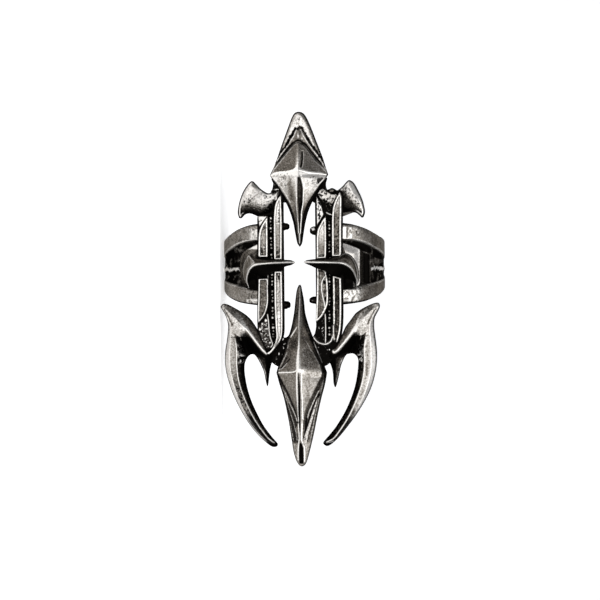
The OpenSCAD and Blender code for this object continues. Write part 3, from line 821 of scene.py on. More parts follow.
    # Beyond the kite: dark, lined
    beyond = 1 - kite
    R.shade += beyond * np.where(Y < -14.3, -0.12, -0.16)
    R.dark = np.maximum(R.dark, beyond * (Y < -14.4) * left_side * 0.8 * rise(noise(X * 3, Y * 0.4, 0.6, 51) + 0.45, 0.5))
    R.dark = np.maximum(R.dark, beyond * (Y < -14.0) * right_side * 0.35)
    def stroke(pts, width, dark=0.0, bright=0.0, dz=0.0, jag=0.0, mask=1.0, seed=61):
        l = smooth([tuple(p) for p in pts])
        d, _, _, v = near(X, Y, l)
        if jag:
            d = d + jag * noise(X, Y, 0.25, seed)
        b = (1 - rise(d - width * 0.3, width * 0.4)) * mask * (v if l.shape[1] > 2 else 1)
        R.Z = R.Z + dz * b
        if bright:
            R.bright = np.maximum(R.bright, bright * b)
            R.dark = R.dark * (1 - b)
        else:
            R.dark = np.maximum(R.dark, dark * b)
            R.bright = R.bright * (1 - b)
    stroke([(-3.0, -14.7), (-2.6, -15.5), (-2.2, -16.3), (-1.75, -17.2), (-1.3, -18.3), (-0.9, -19.3), (-0.55, -20.4), (-0.42, -21.2)], 0.24, dark=0.95, dz=-0.06)
    stroke([(-2.7, -16.2), (-2.2, -17.9), (-1.75, -19.8), (-1.35, -21.6), (-1.0, -23.2)], 0.22, dark=0.85, dz=-0.04)
    stroke([(-2.0, -18.4), (-1.5, -20.1), (-1.05, -21.7), (-0.7, -23.0), (-0.5, -23.9)], 0.26, dark=0.93, dz=-0.05)
    stroke([(-2.54, -16.47), (-1.93, -17.49), (-1.38, -18.84), (-0.89, -19.85), (-0.51, -20.99)], 0.12, bright=0.34, dz=0.05)
    stroke([(-2.17, -17.26), (-1.74, -18.83), (-1.19, -20.63), (-0.76, -22.2), (-0.55, -23.54)], 0.10, bright=0.26, dz=0.04)
    stroke([(-2.2, -18.2), (-1.7, -20.2), (-1.35, -22.0), (-1.05, -23.6)], 0.09, bright=0.28, dz=0.03)
    # Right: a dark facet beside the kite, a light line, then black beside the rough bright strip
    stroke([(2.95, -15.3), (2.45, -16.3), (1.95, -17.3), (1.4, -18.5), (0.95, -19.6), (0.7, -20.5), (0.6, -21.4)], 0.5, dark=0.72, dz=-0.05)
    stroke([(2.5, -16.6), (2.0, -17.6), (1.5, -18.7), (1.05, -19.7), (0.8, -20.6), (0.65, -21.4)], 0.16, dark=0.93, dz=-0.03)
    stroke([(2.45, -17.4), (1.95, -18.5), (1.5, -19.6), (1.15, -20.8), (0.8, -22.0), (0.6, -23.2)], 0.42, dark=0.98, dz=-0.08)
    stroke([(0.75, -20.6), (0.62, -21.8), (0.5, -23.3)], 0.3, dark=0.98, dz=-0.05)
    stroke([(2.4, -16.97), (1.8, -18.19), (1.15, -19.64), (0.88, -20.48)], 0.13, bright=0.36, dz=0.06)
    rough_loop = [(2.21, -18.03), (1.72, -19.2), (1.26, -20.65), (0.8, -21.99), (0.36, -23.22), (0.24, -23.89)] + [(0.55, -24.4),
            (0.72, -25.6), (0.62, -26.6), (0.85, -25.7)] + [(2.25, -18.05), (1.9, -19.43), (1.55, -20.66), (1.24, -21.77),
            (0.92, -22.89), (0.72, -23.89)][::-1]
    # The outermost strip is plain grey, with a dark line along the rough one
    outer_strip = right_side * rise(-17.6 - Y, 0.8) * rise(Y + 24.4, 0.6) * rise(0.62 - R.D, 0.15)
    R.dark *= 1 - 0.9 * outer_strip
    R.shade = R.shade * (1 - outer_strip) + outer_strip * (0.42 + 0.06 * grainy)
    stroke([(2.3, -18.1), (2.0, -19.43), (1.66, -20.66), (1.35, -21.77), (1.02, -22.89), (0.86, -23.7)], 0.13, dark=0.8, dz=-0.04)
    m = R.area(rough_loop, 0.1)
    R.dark *= 1 - m
    R.shade = R.shade * (1 - m) + m * (0.80 - 0.14 * rise(-23.0 - Y, 1.5) + 0.12 * noise(X, Y, 0.17, 45))
    R.Z += 0.1 * m
    R.dark = np.maximum(R.dark, 0.8 * m * rise(noise(X, Y, 0.2, 43) - 0.3, 0.15))
    end = rise(-23.6 - Y, 0.5)
    R.shade += beyond * end * (1 - m) * 0.26
    R.dark *= 1 - 0.85 * end * beyond
    # The edges: black above, dark lines below
    black_w = table([(-2.6, 0.1), (-6, 0.15), (-9.5, 0.16), (-11.5, 0.22), (-14.2, 0.24), (-16, 0.16), (-27, 0.1)], Y)
    side = 1 - rise(np.clip(R.D, 0, None) - black_w * np.where(X > 0, 1.15, 0.8), 0.1)
    R.dark = np.maximum(R.dark, side * table([(-2.6, 0.97), (-15, 0.95), (-17, 0.8), (-22.5, 0.72), (-25, 0.55), (-27.1, 0.4)], Y))
    R.bright *= 1 - side
    v = bump(np.abs(R.D - 0.36), 0.09) * (Y < -15.2) * rise(Y + 23.8, 0.5) * right_side
    R.dark = np.maximum(R.dark, 0.75 * v)
    v = bump(np.abs(R.D - 0.26), 0.09) * (Y < -15.2) * rise(Y + 23.8, 0.5) * right_side
    R.bright = np.maximum(R.bright, 0.4 * v)
    # Thin lines beside the upper facets
    stroke([(-1.44, -9.93), (-1.64, -10.51), (-1.69, -11.15)], 0.13, bright=0.35, dz=0.03)
    stroke([(-1.77, -11.76), (-2.22, -12.65), (-2.68, -13.56)], 0.13, bright=0.32, dz=0.03)
    stroke([(-1.37, -12.57), (-2, -13.28), (-2.58, -13.77)], 0.16, dark=0.95, dz=-0.04)
    stroke([(-1.75, -12.3), (-2.2, -13.2), (-2.65, -13.95)], 0.14, dark=0.93, dz=-0.04)
    stroke([(-1.82, -13.19), (-2.36, -13.81), (-2.86, -14.05)], 0.13, bright=0.4, dz=0.03)
    stroke([(1.2, -9.3), (1.75, -10.6), (2.35, -12.0), (2.9, -13.4), (3.1, -14.4)], 0.3, dark=0.93, dz=-0.05)
    stroke([(0.75, -8.2), (1.1, -9.3), (1.6, -10.4), (2.0, -11.3)], 0.12, dark=0.8, dz=-0.03)
    stroke([(0.45, -6.4), (0.7, -7.8), (1.0, -8.9)], 0.13, dark=0.75, dz=-0.03)
    stroke([p + (f,) for p, f in zip([(0.46, -9.63), (0.99, -10.53), (1.34, -11.25), (2.05, -12.33), (2.57, -13.41),
            (2.83, -14.13), (2.85, -14.62)], (0.2, 0.5, 0.8, 1, 1, 1, 0.8))], 0.12, bright=0.6, dz=0.03)
    stroke([(1.85, -10.27), (2.02, -10.9), (2.46, -11.98), (2.86, -13.16)], 0.12, bright=0.7, dz=0.04)
    stroke([(-0.47, -8.39), (-0.9, -9.08), (-1.28, -9.63)], 0.17, bright=0.95, dz=0.05)
    # The ridges that meet at the peak
    c = near(X, Y, smooth([(0.01, -6.04), (-0, -7.83), (-0.04, -8.73), (-0.07, -10.07), (-0.12, -11.06), (-0.17, -11.86),
            (-0.21, -12.76), (-0.15, -13.65), (-0.13, -14.28)]))
    w = np.interp(-Y, [2.6, 5.5, 8.0, 9.0, 10.3, 11.9, 13.0, 14.0, 14.6], [0.2, 0.3, 0.26, 0.13, 0.13, 0.22, 0.36, 0.46, 0.5])
    v = np.interp(-Y, [2.6, 6.0, 8.0, 9.5, 10.5, 14.4], [0.15, 0.35, 0.4, 0.6, 0.92, 0.95])
    b = (1 - rise(c[0] - 0.35 * w, 0.65 * w)) * rise(Y + 14.5, 0.2)
    R.bright = np.maximum(R.bright, v * b)
    R.dark *= 1 - b
    stroke([(-2.85, -14.43), (-1.96, -14.42), (-0.88, -14.36), (-0.43, -14.17)], 0.16, bright=0.9, dz=0.04)
    # A painted highlight at the top of the lower right facet
    R.bright = np.maximum(R.bright, 0.75 * bump(np.hypot((X - 0.3) / 0.8, (Y + 14.3) * 1.3), 1.0) * right_side * (1 - 0.5 * rise(grainy, 0.4)))
    stroke([(-0.37, -14.37), (-0.41, -15.49), (-0.43, -17.72), (-0.33, -19.4), (-0.27, -20.99)], 0.2, bright=0.95, dz=0.05)
    stroke([(-0.33, -21.31), (-0.27, -23.32), (-0.35, -23.99), (-0.44, -25), (-0.45, -26.23)], 0.15, bright=0.85, dz=0.05)
    stroke([(0.22, -14.37), (0.2, -16.61), (0.28, -18.85), (0.28, -20.7)], 0.15, bright=0.9, dz=0.05)
    stroke([(0.17, -21.31), (0.07, -23.44), (0.18, -23.89), (0.39, -24.56), (0.43, -25.57), (0.39, -26.46)], 0.15, bright=0.9, dz=0.05)
    for pts, dz, dk in (([(-0.16, -14.48), (-0.24, -16.05), (-0.27, -17.73), (-0.33, -19.41), (-0.29, -20.64), (-0.25, -21.64),
            (-0.22, -22.43)] + [(-0.16, -23.2)] + [(-0.10, -14.48), (-0.02, -16.05), (0.02, -17.73), (0.0, -19.41), (-0.02, -20.64),
            (-0.06, -21.65), (-0.10, -22.43)][::-1], 0.35, 1.0), ([(-0.06, -23.83), (-0.23, -24.16), (-0.29, -24.61),
            (-0.3, -25.56), (-0.29, -26.62)] + [(-0.04, -23.83), (0.11, -24.17), (0.21, -24.61), (0.24, -25.57),
            (0.25, -26.63)][::-1], 0.45, 1.0)):
        g = rise(signed(X, Y, np.array(pts))[0] + 0.03, 0.07)
        R.Z -= dz * g
        R.dark = np.maximum(R.dark, dk * g)
        R.bright *= 1 - g
    # Rough casting beside the upper point
    m = bump(np.hypot((X + 0.42) / 0.45, (Y + 6.3) / 0.9), 1.0) * (X < -0.05)
    hit = rise(noise(X, Y, 0.17, 49) + 0.9 * (m - 1) + 0.25, 0.15) * rise(m, 0.2)
    R.dark = np.maximum(R.dark, 0.9 * hit)
    R.Z -= 0.06 * hit
    R.soften(0.04)
    mesh_relief(R, 9.7)


# ---------------------------------------------------------------- pillars

def pillar_field(name, loop, corners=()):
    R = Relief(name, smooth(loop, corners=corners, closed=True), h=0.056)
    R.Z = np.full(R.X.shape, 11.05)
    R.dark[:] = 0.97
    R.shade[:] = 0.3
    return R


def beads(R, x_top, x_low, y_top, y_low, seed):
    """A row of small square beads down the channel."""
    pitch = 0.445
    k = np.clip(np.round((y_top - R.Y) / pitch), 0, int((y_top - y_low) / pitch))
    yc = y_top - k * pitch
    size = 0.165 + 0.045 * np.sin(k * 2.3 + seed)
    xc = x_top + (x_low - x_top) * (y_top - yc) / (y_top - y_low) + 0.035 * np.sin(k * 3.7 + seed)
    b = np.clip(1 - (((R.X - xc) / size) ** 4 + ((R.Y - yc) / size) ** 4), 0, 1) ** 0.5
    R.Z += 0.36 * b
    b = b * (np.sin(k * 5.1 + seed) < 0.88)
    worn = 0.72 + 0.4 * np.sin(k * 1.9 + seed * 1.3)
    R.dark = R.dark * (1 - 0.9 * b)
    R.shade = np.where(b > 0, 0.45, R.shade)
    R.bright = np.maximum(R.bright, b * np.clip(worn, 0.15, 1.0))


def left_pillar():
    R = pillar_field("left_pillar", [
        (-2.13, 9.2), (-2.3, 9.75), (-2.62, 9.62), (-3.12, 8.95), (-3.45, 8.2), (-3.62, 7.3), (-4.3, 6.95), (-5.0, 6.8), (-5.6, 6.6),
        (-5.66, 5.4), (-5.7, 3.0), (-5.74, -4.0), (-5.78, -8.0), (-5.65, -9.6), (-5.2, -10.9), (-4.75, -11.8), (-4.2, -12.15),
        (-3.7, -11.8), (-3.1, -11.15), (-2.6, -10.4), (-2.25, -9.5), (-2.14, -8.5)], corners=(0,))
    X, Y = R.X, R.Y
    # Rough casting in the foot's corner
    foot = [(-5.6, -8.0), (-4.5, -7.4), (-4.3, -8.6), (-4.1, -9.9), (-3.8, -10.7), (-4.0, -11.1), (-4.6, -11.1), (-5.5, -9.2)]
    m = R.area(foot, 0.2)
    R.shade += 0.25 * m * rise(noise(X, Y, 0.3, 62) + 0.1, 0.4)
    R.dark *= 1 - 0.25 * m
    R.specks(m, 0.14, 63, 0.32, height=0.08, bright=0.9)
    for cx, cy, r in ((-5.42, -8.6, 0.2), (-5.12, -7.85, 0.16), (-4.62, -7.4, 0.22), (-4.35, -9.4, 0.1), (-4.75, -9.9, 0.12)):
        b = rise(bump(np.hypot(X - cx, (Y - cy) * 0.8), r * 1.5) - 0.3, 0.3)
        R.Z += 0.12 * b
        R.bright = np.maximum(R.bright, 0.95 * b)
        R.dark *= 1 - b
    R.sink([(-4.24, 6.75), (-3.4, 6.75), (-3.4, -8.5), (-3.3, -10.2), (-3.55, -10.6), (-3.85, -10.1), (-4.1, -8.8),
            (-4.18, -7.6), (-4.3, -5.8), (-4.24, -4.0)], 0.35, 0.12, 1.0)
    beads(R, -3.86, -3.64, 6.3, -9.3, 1)
    n = noise(X, Y, 1.3, 65)
    lines = noise(X * 3, Y * 0.6, 0.7, 66)
    R.strip(smooth([(-4.26, 6.55), (-4.67, 5.98), (-5.03, 5.4), (-5.32, 4.7), (-5.47, 3.7), (-5.52, 1.25), (-5.45, 1.1),
                    (-4.28, 1.08), (-4.25, 3.0)], corners=(0, 6, 7), closed=True),
            table([(6.5, 0.90), (5.45, 0.86), (5.2, 0.52), (4.0, 0.58), (2.6, 0.5), (1.1, 0.36)], Y) + 0.06 * n + 0.05 * lines, 71,
            pits=0.45 + 0.5 * rise(3.0 - Y, 0.6), level=0.3 - 0.42 * rise(2.9 - Y, 0.9))
    blot = bump(np.hypot((X + 4.62) / 0.38, (Y - 5.05) / 0.26), 1.0)
    R.dark = np.maximum(R.dark, 0.75 * rise(blot, 0.5))
    R.strip(smooth([(-2.40, 9.45), (-2.93, 8.78), (-3.22, 8.04), (-3.35, 7.1), (-3.42, 5.9), (-3.43, 0.72), (-2.37, 0.72),
                    (-2.33, 5.9)], corners=(0, 5, 6), closed=True),
            table([(9.4, 0.98), (6.2, 0.93), (5.7, 0.66), (3.5, 0.62), (1.8, 0.54), (0.7, 0.4)], Y) + 0.06 * n + 0.05 * lines, 73,
            pits=0.35 + 0.55 * rise(2.9 - Y, 0.6), level=0.34 - 0.46 * rise(2.7 - Y, 0.9))
    for y in (7.4, 6.75, 6.3, 5.9, 7.0):
        d = rise(bump(np.hypot((X + 2.72 + 0.06 * math.sin(9 * y)) / 0.13, (Y - y) / 0.17), 1.0), 0.5)
        R.dark = np.maximum(R.dark, 0.85 * d)
        R.Z -= 0.08 * d
    R.bright = np.maximum(R.bright, 0.8 * bump(np.abs(Y - 5.6), 0.12) * (np.abs(X + 2.9) < 0.45))
    R.strip(smooth([(-5.52, -1.8), (-4.3, -1.75), (-4.25, -4.6), (-4.40, -5.7), (-4.75, -6.65), (-5.25, -7.35), (-5.66, -7.75),
                    (-5.66, -6.0), (-5.58, -4.0)], corners=(0, 1, 6), closed=True),
            0.36 + 0.06 * n + 0.08 * lines, 75, frame=0.17, pits=0.6, level=0.15)
    open_top = rise(bump(np.abs(X + 4.9), 0.5) - 0.1, 0.2) * rise(bump(np.abs(Y + 1.85), 0.3), 0.5)
    R.bright *= 1 - 0.75 * open_top * rise(noise(X, Y, 0.18, 60) + 0.25, 0.2)
    R.line(smooth([(-4.32, -1.1, 0.6), (-4.27, -1.6, 1), (-4.27, -2.6, 1)]), 0.14, 0.3, 0.95)
    up = R.strip(smooth([(-3.42, -0.8), (-2.38, -0.8), (-2.34, -8.2), (-2.46, -9.6), (-2.8, -10.4), (-3.22, -10.95),
                         (-3.75, -11.6), (-4.2, -11.98), (-4.62, -11.85), (-4.0, -11.4), (-3.62, -10.85), (-3.24, -9.75),
                         (-3.30, -8.3), (-3.42, -5.0)], corners=(0, 1, 8), closed=True),
                 table([(-1, 0.56), (-2.2, 0.62), (-3, 0.72), (-5.8, 0.74), (-6.6, 0.97), (-12, 1.0)], Y) + 0.05 * n, 77,
                 pits=table([(-0.8, 1.0), (-2.0, 0.95), (-2.6, 0.6), (-6.0, 0.6), (-7.0, 0.35)], Y), level=0.16 - 0.3 * rise(Y + 2.0, 0.4))
    fade = up * rise(-9.9 - Y, 1.2) * rise(X + 3.75 + 0.35 * (Y + 10.5), 0.5)
    R.dark = np.maximum(R.dark, 0.9 * fade)
    R.bright *= 1 - 0.9 * fade
    # The thin ridge down the rough corner, hooked at its end
    R.line(smooth([(-4.40, -6.6), (-4.25, -7.6), (-4.19, -8.75), (-4.02, -9.75), (-3.80, -10.35), (-3.74, -10.7),
                   (-3.96, -11.0)]), 0.17, 0.2, 1.0)
    # A small bright facet below the wing
    R.facet([(-5.52, 6.6), (-5.36, 5.15), (-4.3, 6.6)], 0.96, 0.4, 79, level=0.42, size=0.18, out=-0.01)
    R.outline(0.1, 0.95)
    R.soften(0.028)
    mesh_relief(R, 10.0)


def right_pillar():
    R = pillar_field("right_pillar", [
        (2.12, 9.2), (2.2, 9.8), (2.8, 10.35), (3.35, 10.42), (3.68, 10.08), (4.05, 10.16), (4.43, 10.32), (4.8, 10.16), (5.1, 9.98),
        (5.5, 10.05), (5.84, 9.8), (5.86, 8.5), (5.8, 3.0),
        (5.8, -6.5), (5.72, -8.2), (5.5, -9.6), (5.15, -10.9), (4.6, -11.4), (3.7, -11.2), (2.7, -10.95), (2.0, -10.45),
        (1.7, -9.75), (1.95, -9.2), (2.13, -8.2)], corners=(0,))
    X, Y = R.X, R.Y
    R.specks(R.area([(2.3, -8.4), (3.3, -7.0), (3.3, -10.2), (2.6, -10.2)], 0.3), 0.14, 83, 0.42)
    R.sink([(3.66, 6.6), (4.32, 6.6), (4.34, -8.5), (4.2, -9.9), (3.8, -10.25), (3.55, -9.6), (3.56, -5.0)], 0.35, 0.12, 1.0)
    beads(R, 4.02, 3.93, 6.2, -9.5, 2)
    n = noise(X, Y, 1.3, 85)
    lines = noise(X * 3.5, Y * 0.5, 0.7, 86)
    R.strip(smooth([(3.60, 6.5), (3.17, 6.02), (2.76, 5.3), (2.45, 4.6), (2.33, 3.45), (2.30, 0.83), (3.58, 0.83), (3.62, 3.0)],
                   corners=(0, 5, 6), closed=True),
            table([(6.5, 0.92), (4.6, 0.84), (3.4, 0.68), (2.6, 0.5), (1.7, 0.46), (0.8, 0.72)], Y) + 0.04 * n + 0.10 * lines, 87,
            pits=0.15 + 0.8 * rise(1.6 - Y, 0.3), level=0.25 - 0.5 * rise(1.6 - Y, 0.3))
    R.strip(smooth([(5.50, 9.75), (4.93, 8.76), (4.58, 7.75), (4.43, 6.6), (4.4, 5.0), (4.38, 1.1), (5.6, 1.1), (5.64, 5.0),
                    (5.72, 9.0)], corners=(0, 5, 6), closed=True),
            table([(9.7, 0.98), (8.9, 0.93), (8.0, 0.68), (7.0, 0.46), (5.5, 0.36), (1.0, 0.3)], Y) + 0.05 * n + 0.14 * lines, 89,
            pits=0.3 + 0.65 * rise(7.0 - Y, 1.5), level=0.22 - 0.3 * rise(3.4 - Y, 1.4))
    R.strip(smooth([(2.33, -0.35), (3.55, -0.75), (3.78, -2.3), (3.8, -5.0), (3.45, -6.1), (2.95, -6.95), (2.35, -7.55), (2.08, -7.72),
                    (2.16, -6.0), (2.26, -4.0)], corners=(0, 1, 7), closed=True), 0.31 + 0.05 * n + 0.10 * lines, 91, pits=0.5, level=0.2)
    top_open = rise(bump(np.abs(X - 3.0), 0.66) - 0.05, 0.15) * rise(Y + 1.05, 0.25) * (Y < 0.2)
    R.bright *= 1 - 0.97 * top_open
    R.shade = R.shade - 0.35 * top_open
    R.dark = np.maximum(R.dark, 0.9 * top_open * rise(noise(X, Y, 0.2, 99) + 0.3, 0.3))
    R.strip(smooth([(4.45, -1.45), (5.56, -1.75), (5.58, -5.0), (5.54, -7.6), (5.42, -8.85), (5.2, -9.8), (4.95, -10.45),
                    (4.5, -10.3), (4.44, -9.0), (4.46, -5.0)], corners=(0, 1), closed=True),
            0.18 + 0.05 * n + 0.05 * lines, 93, pits=0.85, level=-0.02)
    ends = np.maximum(rise(bump(np.abs(Y + 1.6), 0.35), 0.5) * rise(5.42 - X, 0.1), rise(-9.9 - Y, 0.3) * rise(5.02 - X + 0.25 * (Y + 10), 0.1))
    R.bright *= 1 - 0.9 * ends
    R.dark = np.maximum(R.dark, 0.9 * ends * rise(-9 - Y, 0.5))
    # The left border is rough
    R.bright *= 1 - 0.75 * rise(noise(X, Y, 0.16, 98) - 0.02, 0.2) * rise(bump(np.abs(X - 4.5), 0.22), 0.3) * rise(-1.2 - Y, 0.5)
    # A curled leaf inside the short strip
    leaf = smooth([(3.56, -1.35), (3.28, -1.75), (3.02, -2.2), (2.92, -3.1), (3.06, -4.16), (3.27, -5.0), (3.3, -5.7), (3.0, -6.45)])
    m = R.area(np.vstack([leaf[:, :2], [(3.45, -5.9), (3.66, -4.9), (3.64, -2.4)]]), 0.1)
    R.shade = R.shade * (1 - m) + m * (0.50 + 0.35 * noise(X, Y, 0.2, 94))
    for cx, cy, rx, ry in ((3.34, -2.35, 0.24, 0.36), (3.34, -3.6, 0.17, 0.42), (3.45, -4.6, 0.17, 0.5)):
        d = rise(bump(np.hypot((X - cx) / rx, (Y - cy) / ry), 1.0), 0.4)
        R.dark = np.maximum(R.dark, (0.97 if cy > -3 or cy < -4 else 0.65) * d)
        R.Z -= 0.1 * d
    R.line(leaf, 0.15, 0.14, 1.0)
    # The border that turns under the channel to the web
    R.line(smooth([(4.42, -8.2), (4.40, -9.2), (4.16, -10.2), (3.5, -10.66), (2.6, -10.5), (2.1, -10.15), (1.8, -9.72)]), 0.30, 0.4, 1.0)
    R.line(smooth([(3.37, -6.6), (3.42, -8.3), (3.38, -10.4)]), 0.14, 0.2, 1.0)
    # Two bright, pitted facets over the channel
    big = [(3.09, 10.25), (3.55, 10.12), (3.88, 9.8), (4.37, 9.5), (4.98, 9.5), (5.19, 9.34), (4.85, 8.73), (4.48, 8.01),
           (4.23, 7.3), (3.92, 7.2), (3.5, 8.01), (3.14, 8.63), (2.72, 9.06), (2.5, 9.61), (2.75, 10.0)]
    m = R.facet(big, 0.80, 0.4, 95, level=0.04 + 0.16 * rise(X - 3.9 - 0.4 * (9.2 - Y), 0.4), size=0.15)
    R.shade -= 0.3 * m * rise(8.9 - Y, 0.8)
    wedge = R.area([(3.15, 8.9), (3.75, 8.6), (4.2, 7.9), (4.2, 7.3), (3.8, 7.3), (3.4, 8.0)], 0.15) * m
    hit = wedge * rise(noise(X, Y, 0.26, 96) + 0.4, 0.2)
    R.dark = np.maximum(R.dark, 0.98 * hit)
    R.Z -= 0.15 * hit
    R.facet([(2.3, 9.3), (2.36, 5.2), (3.33, 6.75), (2.92, 8.35)], 0.97, 0.4, 97, level=0.0 + 0.4 * rise(np.abs(X - 2.75) - 0.16, 0.12), size=0.17)
    knob = bump(np.hypot((X - 4.42) / 0.75, (Y - 9.9) / 0.5), 1.0)
    R.Z += 0.4 * rise(knob, 0.6)
    R.dark = np.maximum(R.dark, 0.97 * rise(knob, 0.25))
    eye = rise(bump(np.hypot((X - 4.42) / 0.42, ((Y - 9.93) - 0.25 * (X - 4.42)) / 0.2), 1.0), 0.6)
    R.dark *= 1 - 0.7 * eye
    R.shade = R.shade * (1 - eye) + 0.5 * eye
    R.line([(3.7, 7.0), (3.95, 6.85), (4.3, 6.72)], 0.2, 0.3, 0.97)
    R.outline(0.1, 0.95)
    R.soften(0.028)
    mesh_relief(R, 10.0)


# ---------------------------------------------------------------- wings, claws, spikes, thorns

def wing(name, outline, crest, side, flip, seed):
    """Drawn as the left one. side is 0 for the left one's finish, 1 for the right's."""
    R = Relief(name, smooth(outline, corners=(6,), closed=True), h=0.06)
    X, Y = R.X, R.Y
    mid = near(X, Y, smooth(crest))
    f = np.clip(R.D, 0, None) / (np.clip(R.D, 0, None) + mid[0] + 1e-6)
    base = table([(-8.5, 9.3), (-7, 9.45), (-5.5, 9.7), (-3, 10.1)], X)
    R.Z = base + (mid[3] - base) * np.sin(f * math.pi / 2)
    # Bright above and black along its lower edge, painted light and shade as the wing turns from facing up to facing
    # down, with fine pits
    if side:
        shade_limit = table([(-8.43, 6.9), (-8.27, 7.38), (-7.77, 8.05), (-6.94, 9.0), (-6.11, 9.6), (-5.9, 9.9), (-5.3, 9.0), (-4.4, 7.6), (-3, 7.4)], X)
        fade = ((-1.5, 0.97), (-1.0, 0.78), (-0.35, 0.72), (0.1, 0.35), (0.5, 0.0))
    else:
        shade_limit = table([(-8.0, 7.9), (-7.69, 8.0), (-6.85, 8.15), (-6.01, 8.05), (-5.17, 7.8), (-4.33, 8.1), (-3.91, 8.5), (-3, 8.6)], X)
        fade = ((-1.0, 1.0), (-0.45, 0.93), (0.0, 0.6), (0.45, 0.28), (0.9, 0.0))
    fine = noise(X, Y, 0.15, seed + 1)
    h = Y - shade_limit + (0.3 if side else 0.22 + 0.35 * rise(X + 5.6, 0.8)) + 0.08 * noise(X, Y, 0.5, seed) + 0.30 * fine
    R.shade = 0.5 + table([(-1, -0.25), (-0.2, -0.12), (0.3, 0.12), (0.7, 0.26), (1.2, 0.35), (4, 0.38)], h) + 0.05 * side
    R.shade += 0.07 * fine * rise(1.6 - h, 1.2)
    R.dark = np.maximum(R.dark, table(fade, h))
    dot = rise(noise(X, Y, 0.2, seed + 3) - 0.30 + 0.2 * side * rise(X + 6.9, 0.5), 0.12) * rise(R.D - 0.3, 0.2) * rise(2.1 - h, 1.4)
    R.dark = np.maximum(R.dark, 0.85 * dot)
    R.Z -= 0.05 * dot + 0.02 * rise(noise(X, Y, 0.3, seed + 4), 0.5)
    if side:
        low = table([(-8.5, 7.4), (-7.9, 7.5), (-7.0, 7.35), (-5.9, 7.15), (-5, 7.2)], X) - Y
        R.dark = np.maximum(R.dark, 0.98 * rise(low, 0.25) * rise(-5.3 - X, 0.3))
        R.dark = np.maximum(R.dark, 0.97 * bump(np.abs(X + 5.95), 0.35) * rise(9.5 - Y, 0.4))
        bevel = R.area([(-5.85, 6.98), (-6.4, 7.03), (-7.1, 7.15), (-7.4, 7.0), (-7.24, 6.8), (-6.73, 6.6), (-5.85, 6.4)], 0.15)
        R.dark *= 1 - bevel
        R.shade = R.shade * (1 - bevel) + bevel * (0.62 + 0.12 * (7.1 - Y) / 0.6)
        R.Z -= 0.25 * bevel * rise(7.0 - Y, 0.6)
        white = [(-3.0, 10.2), (-3.64, 10.0), (-3.9, 9.75), (-4.37, 9.45), (-4.98, 9.45), (-5.3, 9.34), (-4.95, 8.73), (-4.55, 8.01),
                 (-4.3, 7.4), (-3.85, 7.3), (-3.4, 8.01), (-3.0, 8.63), (-2.6, 9.06), (-2.3, 9.61), (-2.7, 10.1)]
        m = R.area(white, 0.12)
        R.dark *= 1 - m
        R.shade = R.shade * (1 - m) + 0.93 * m
        n = noise(X, Y, 0.22, seed + 5)
        hit = m * rise(n - 0.12 - 0.25 * rise(Y - 9.2, 0.4), 0.12)
        wedge = R.area([(-3.2, 8.85), (-3.75, 8.6), (-4.15, 7.95), (-4.1, 7.3), (-3.74, 7.3), (-3.35, 8.02)], 0.15)
        hit = np.maximum(hit, wedge * rise(noise(X, Y, 0.25, seed + 6) + 0.45, 0.2))
        R.dark = np.maximum(R.dark, 0.97 * hit)
        R.Z += 0.12 * m - 0.18 * hit
        knob = bump(np.hypot((X + 4.42) / 0.72, (Y - 9.92) / 0.46), 1.0)
        R.Z += 0.45 * rise(knob, 0.5)
        R.dark = np.maximum(R.dark, 0.95 * rise(knob, 0.3))
        eye = bump(np.hypot((X + 4.42) / 0.36, (Y - 9.95) / 0.17 + (X + 4.42) * 0.8), 1.0)
        R.dark *= 1 - 0.6 * eye
        R.shade = R.shade * (1 - eye) + 0.45 * eye
        knob2 = bump(np.hypot((X + 3.4) / 0.45, (Y - 10.2) / 0.25), 1.0)
        R.dark = np.maximum(R.dark, 0.95 * rise(knob2, 0.3))
    else:
        white = [(-4.9, 9.6), (-4.42, 9.63), (-4.11, 9.78), (-2.89, 9.95), (-2.4, 9.9), (-2.3, 9.5), (-2.84, 9.17), (-3.09, 8.56),
                 (-3.27, 8.93), (-3.7, 8.87), (-4.31, 8.57), (-5.0, 9.0)]
        m = R.area(white, 0.15)
        R.dark *= 1 - m
        R.shade = R.shade * (1 - m) + 0.95 * m
        hit = m * rise(noise(X, Y, 0.2, seed + 5) - 0.28 - 0.2 * rise(Y - 9.2, 0.3), 0.12)
        R.dark = np.maximum(R.dark, 0.9 * hit)
        R.Z += 0.1 * m - 0.12 * hit
        black = R.area([(-3.3, 8.95), (-3.05, 8.44), (-3.2, 7.71), (-3.3, 6.3), (-4.6, 6.2), (-4.9, 7.3), (-4.2, 8.02), (-3.6, 8.78)], 0.2)
        R.dark = np.maximum(R.dark, 0.97 * black * rise(noise(X, Y, 0.2, seed + 7) + 0.3, 0.3))
    # The patina left along the edges, and the worn rim of the outer edge
    line = R.edge(0.16, 0.08) * (1 - bump(np.abs(Y - 6.75), 0.5) * rise(-5.8 - X, 0.3) * side)
    R.dark = np.maximum(R.dark, (0.88 - 0.2 * rise(-7.2 - X, 0.5) * rise(8.6 - Y, 0.8) * (1 - side)) * line)
    R.bright *= 1 - line
    rim = (1 - rise(np.abs(R.D - 0.27) - 0.06, 0.07)) * rise(-7.35 - X, 0.4) * rise(9.6 - Y, 0.9) * rise(-7.75 - X + 0.6 * (Y > 6.9), 0.1)
    R.Z += 0.1 * rim
    R.bright = np.maximum(R.bright, 0.97 * rim)
    R.dark *= 1 - rim
    R.soften(0.045)
    mesh_relief(R, np.clip(base - 0.7, 8.6, 9.6), flip=flip, grid_back=True)


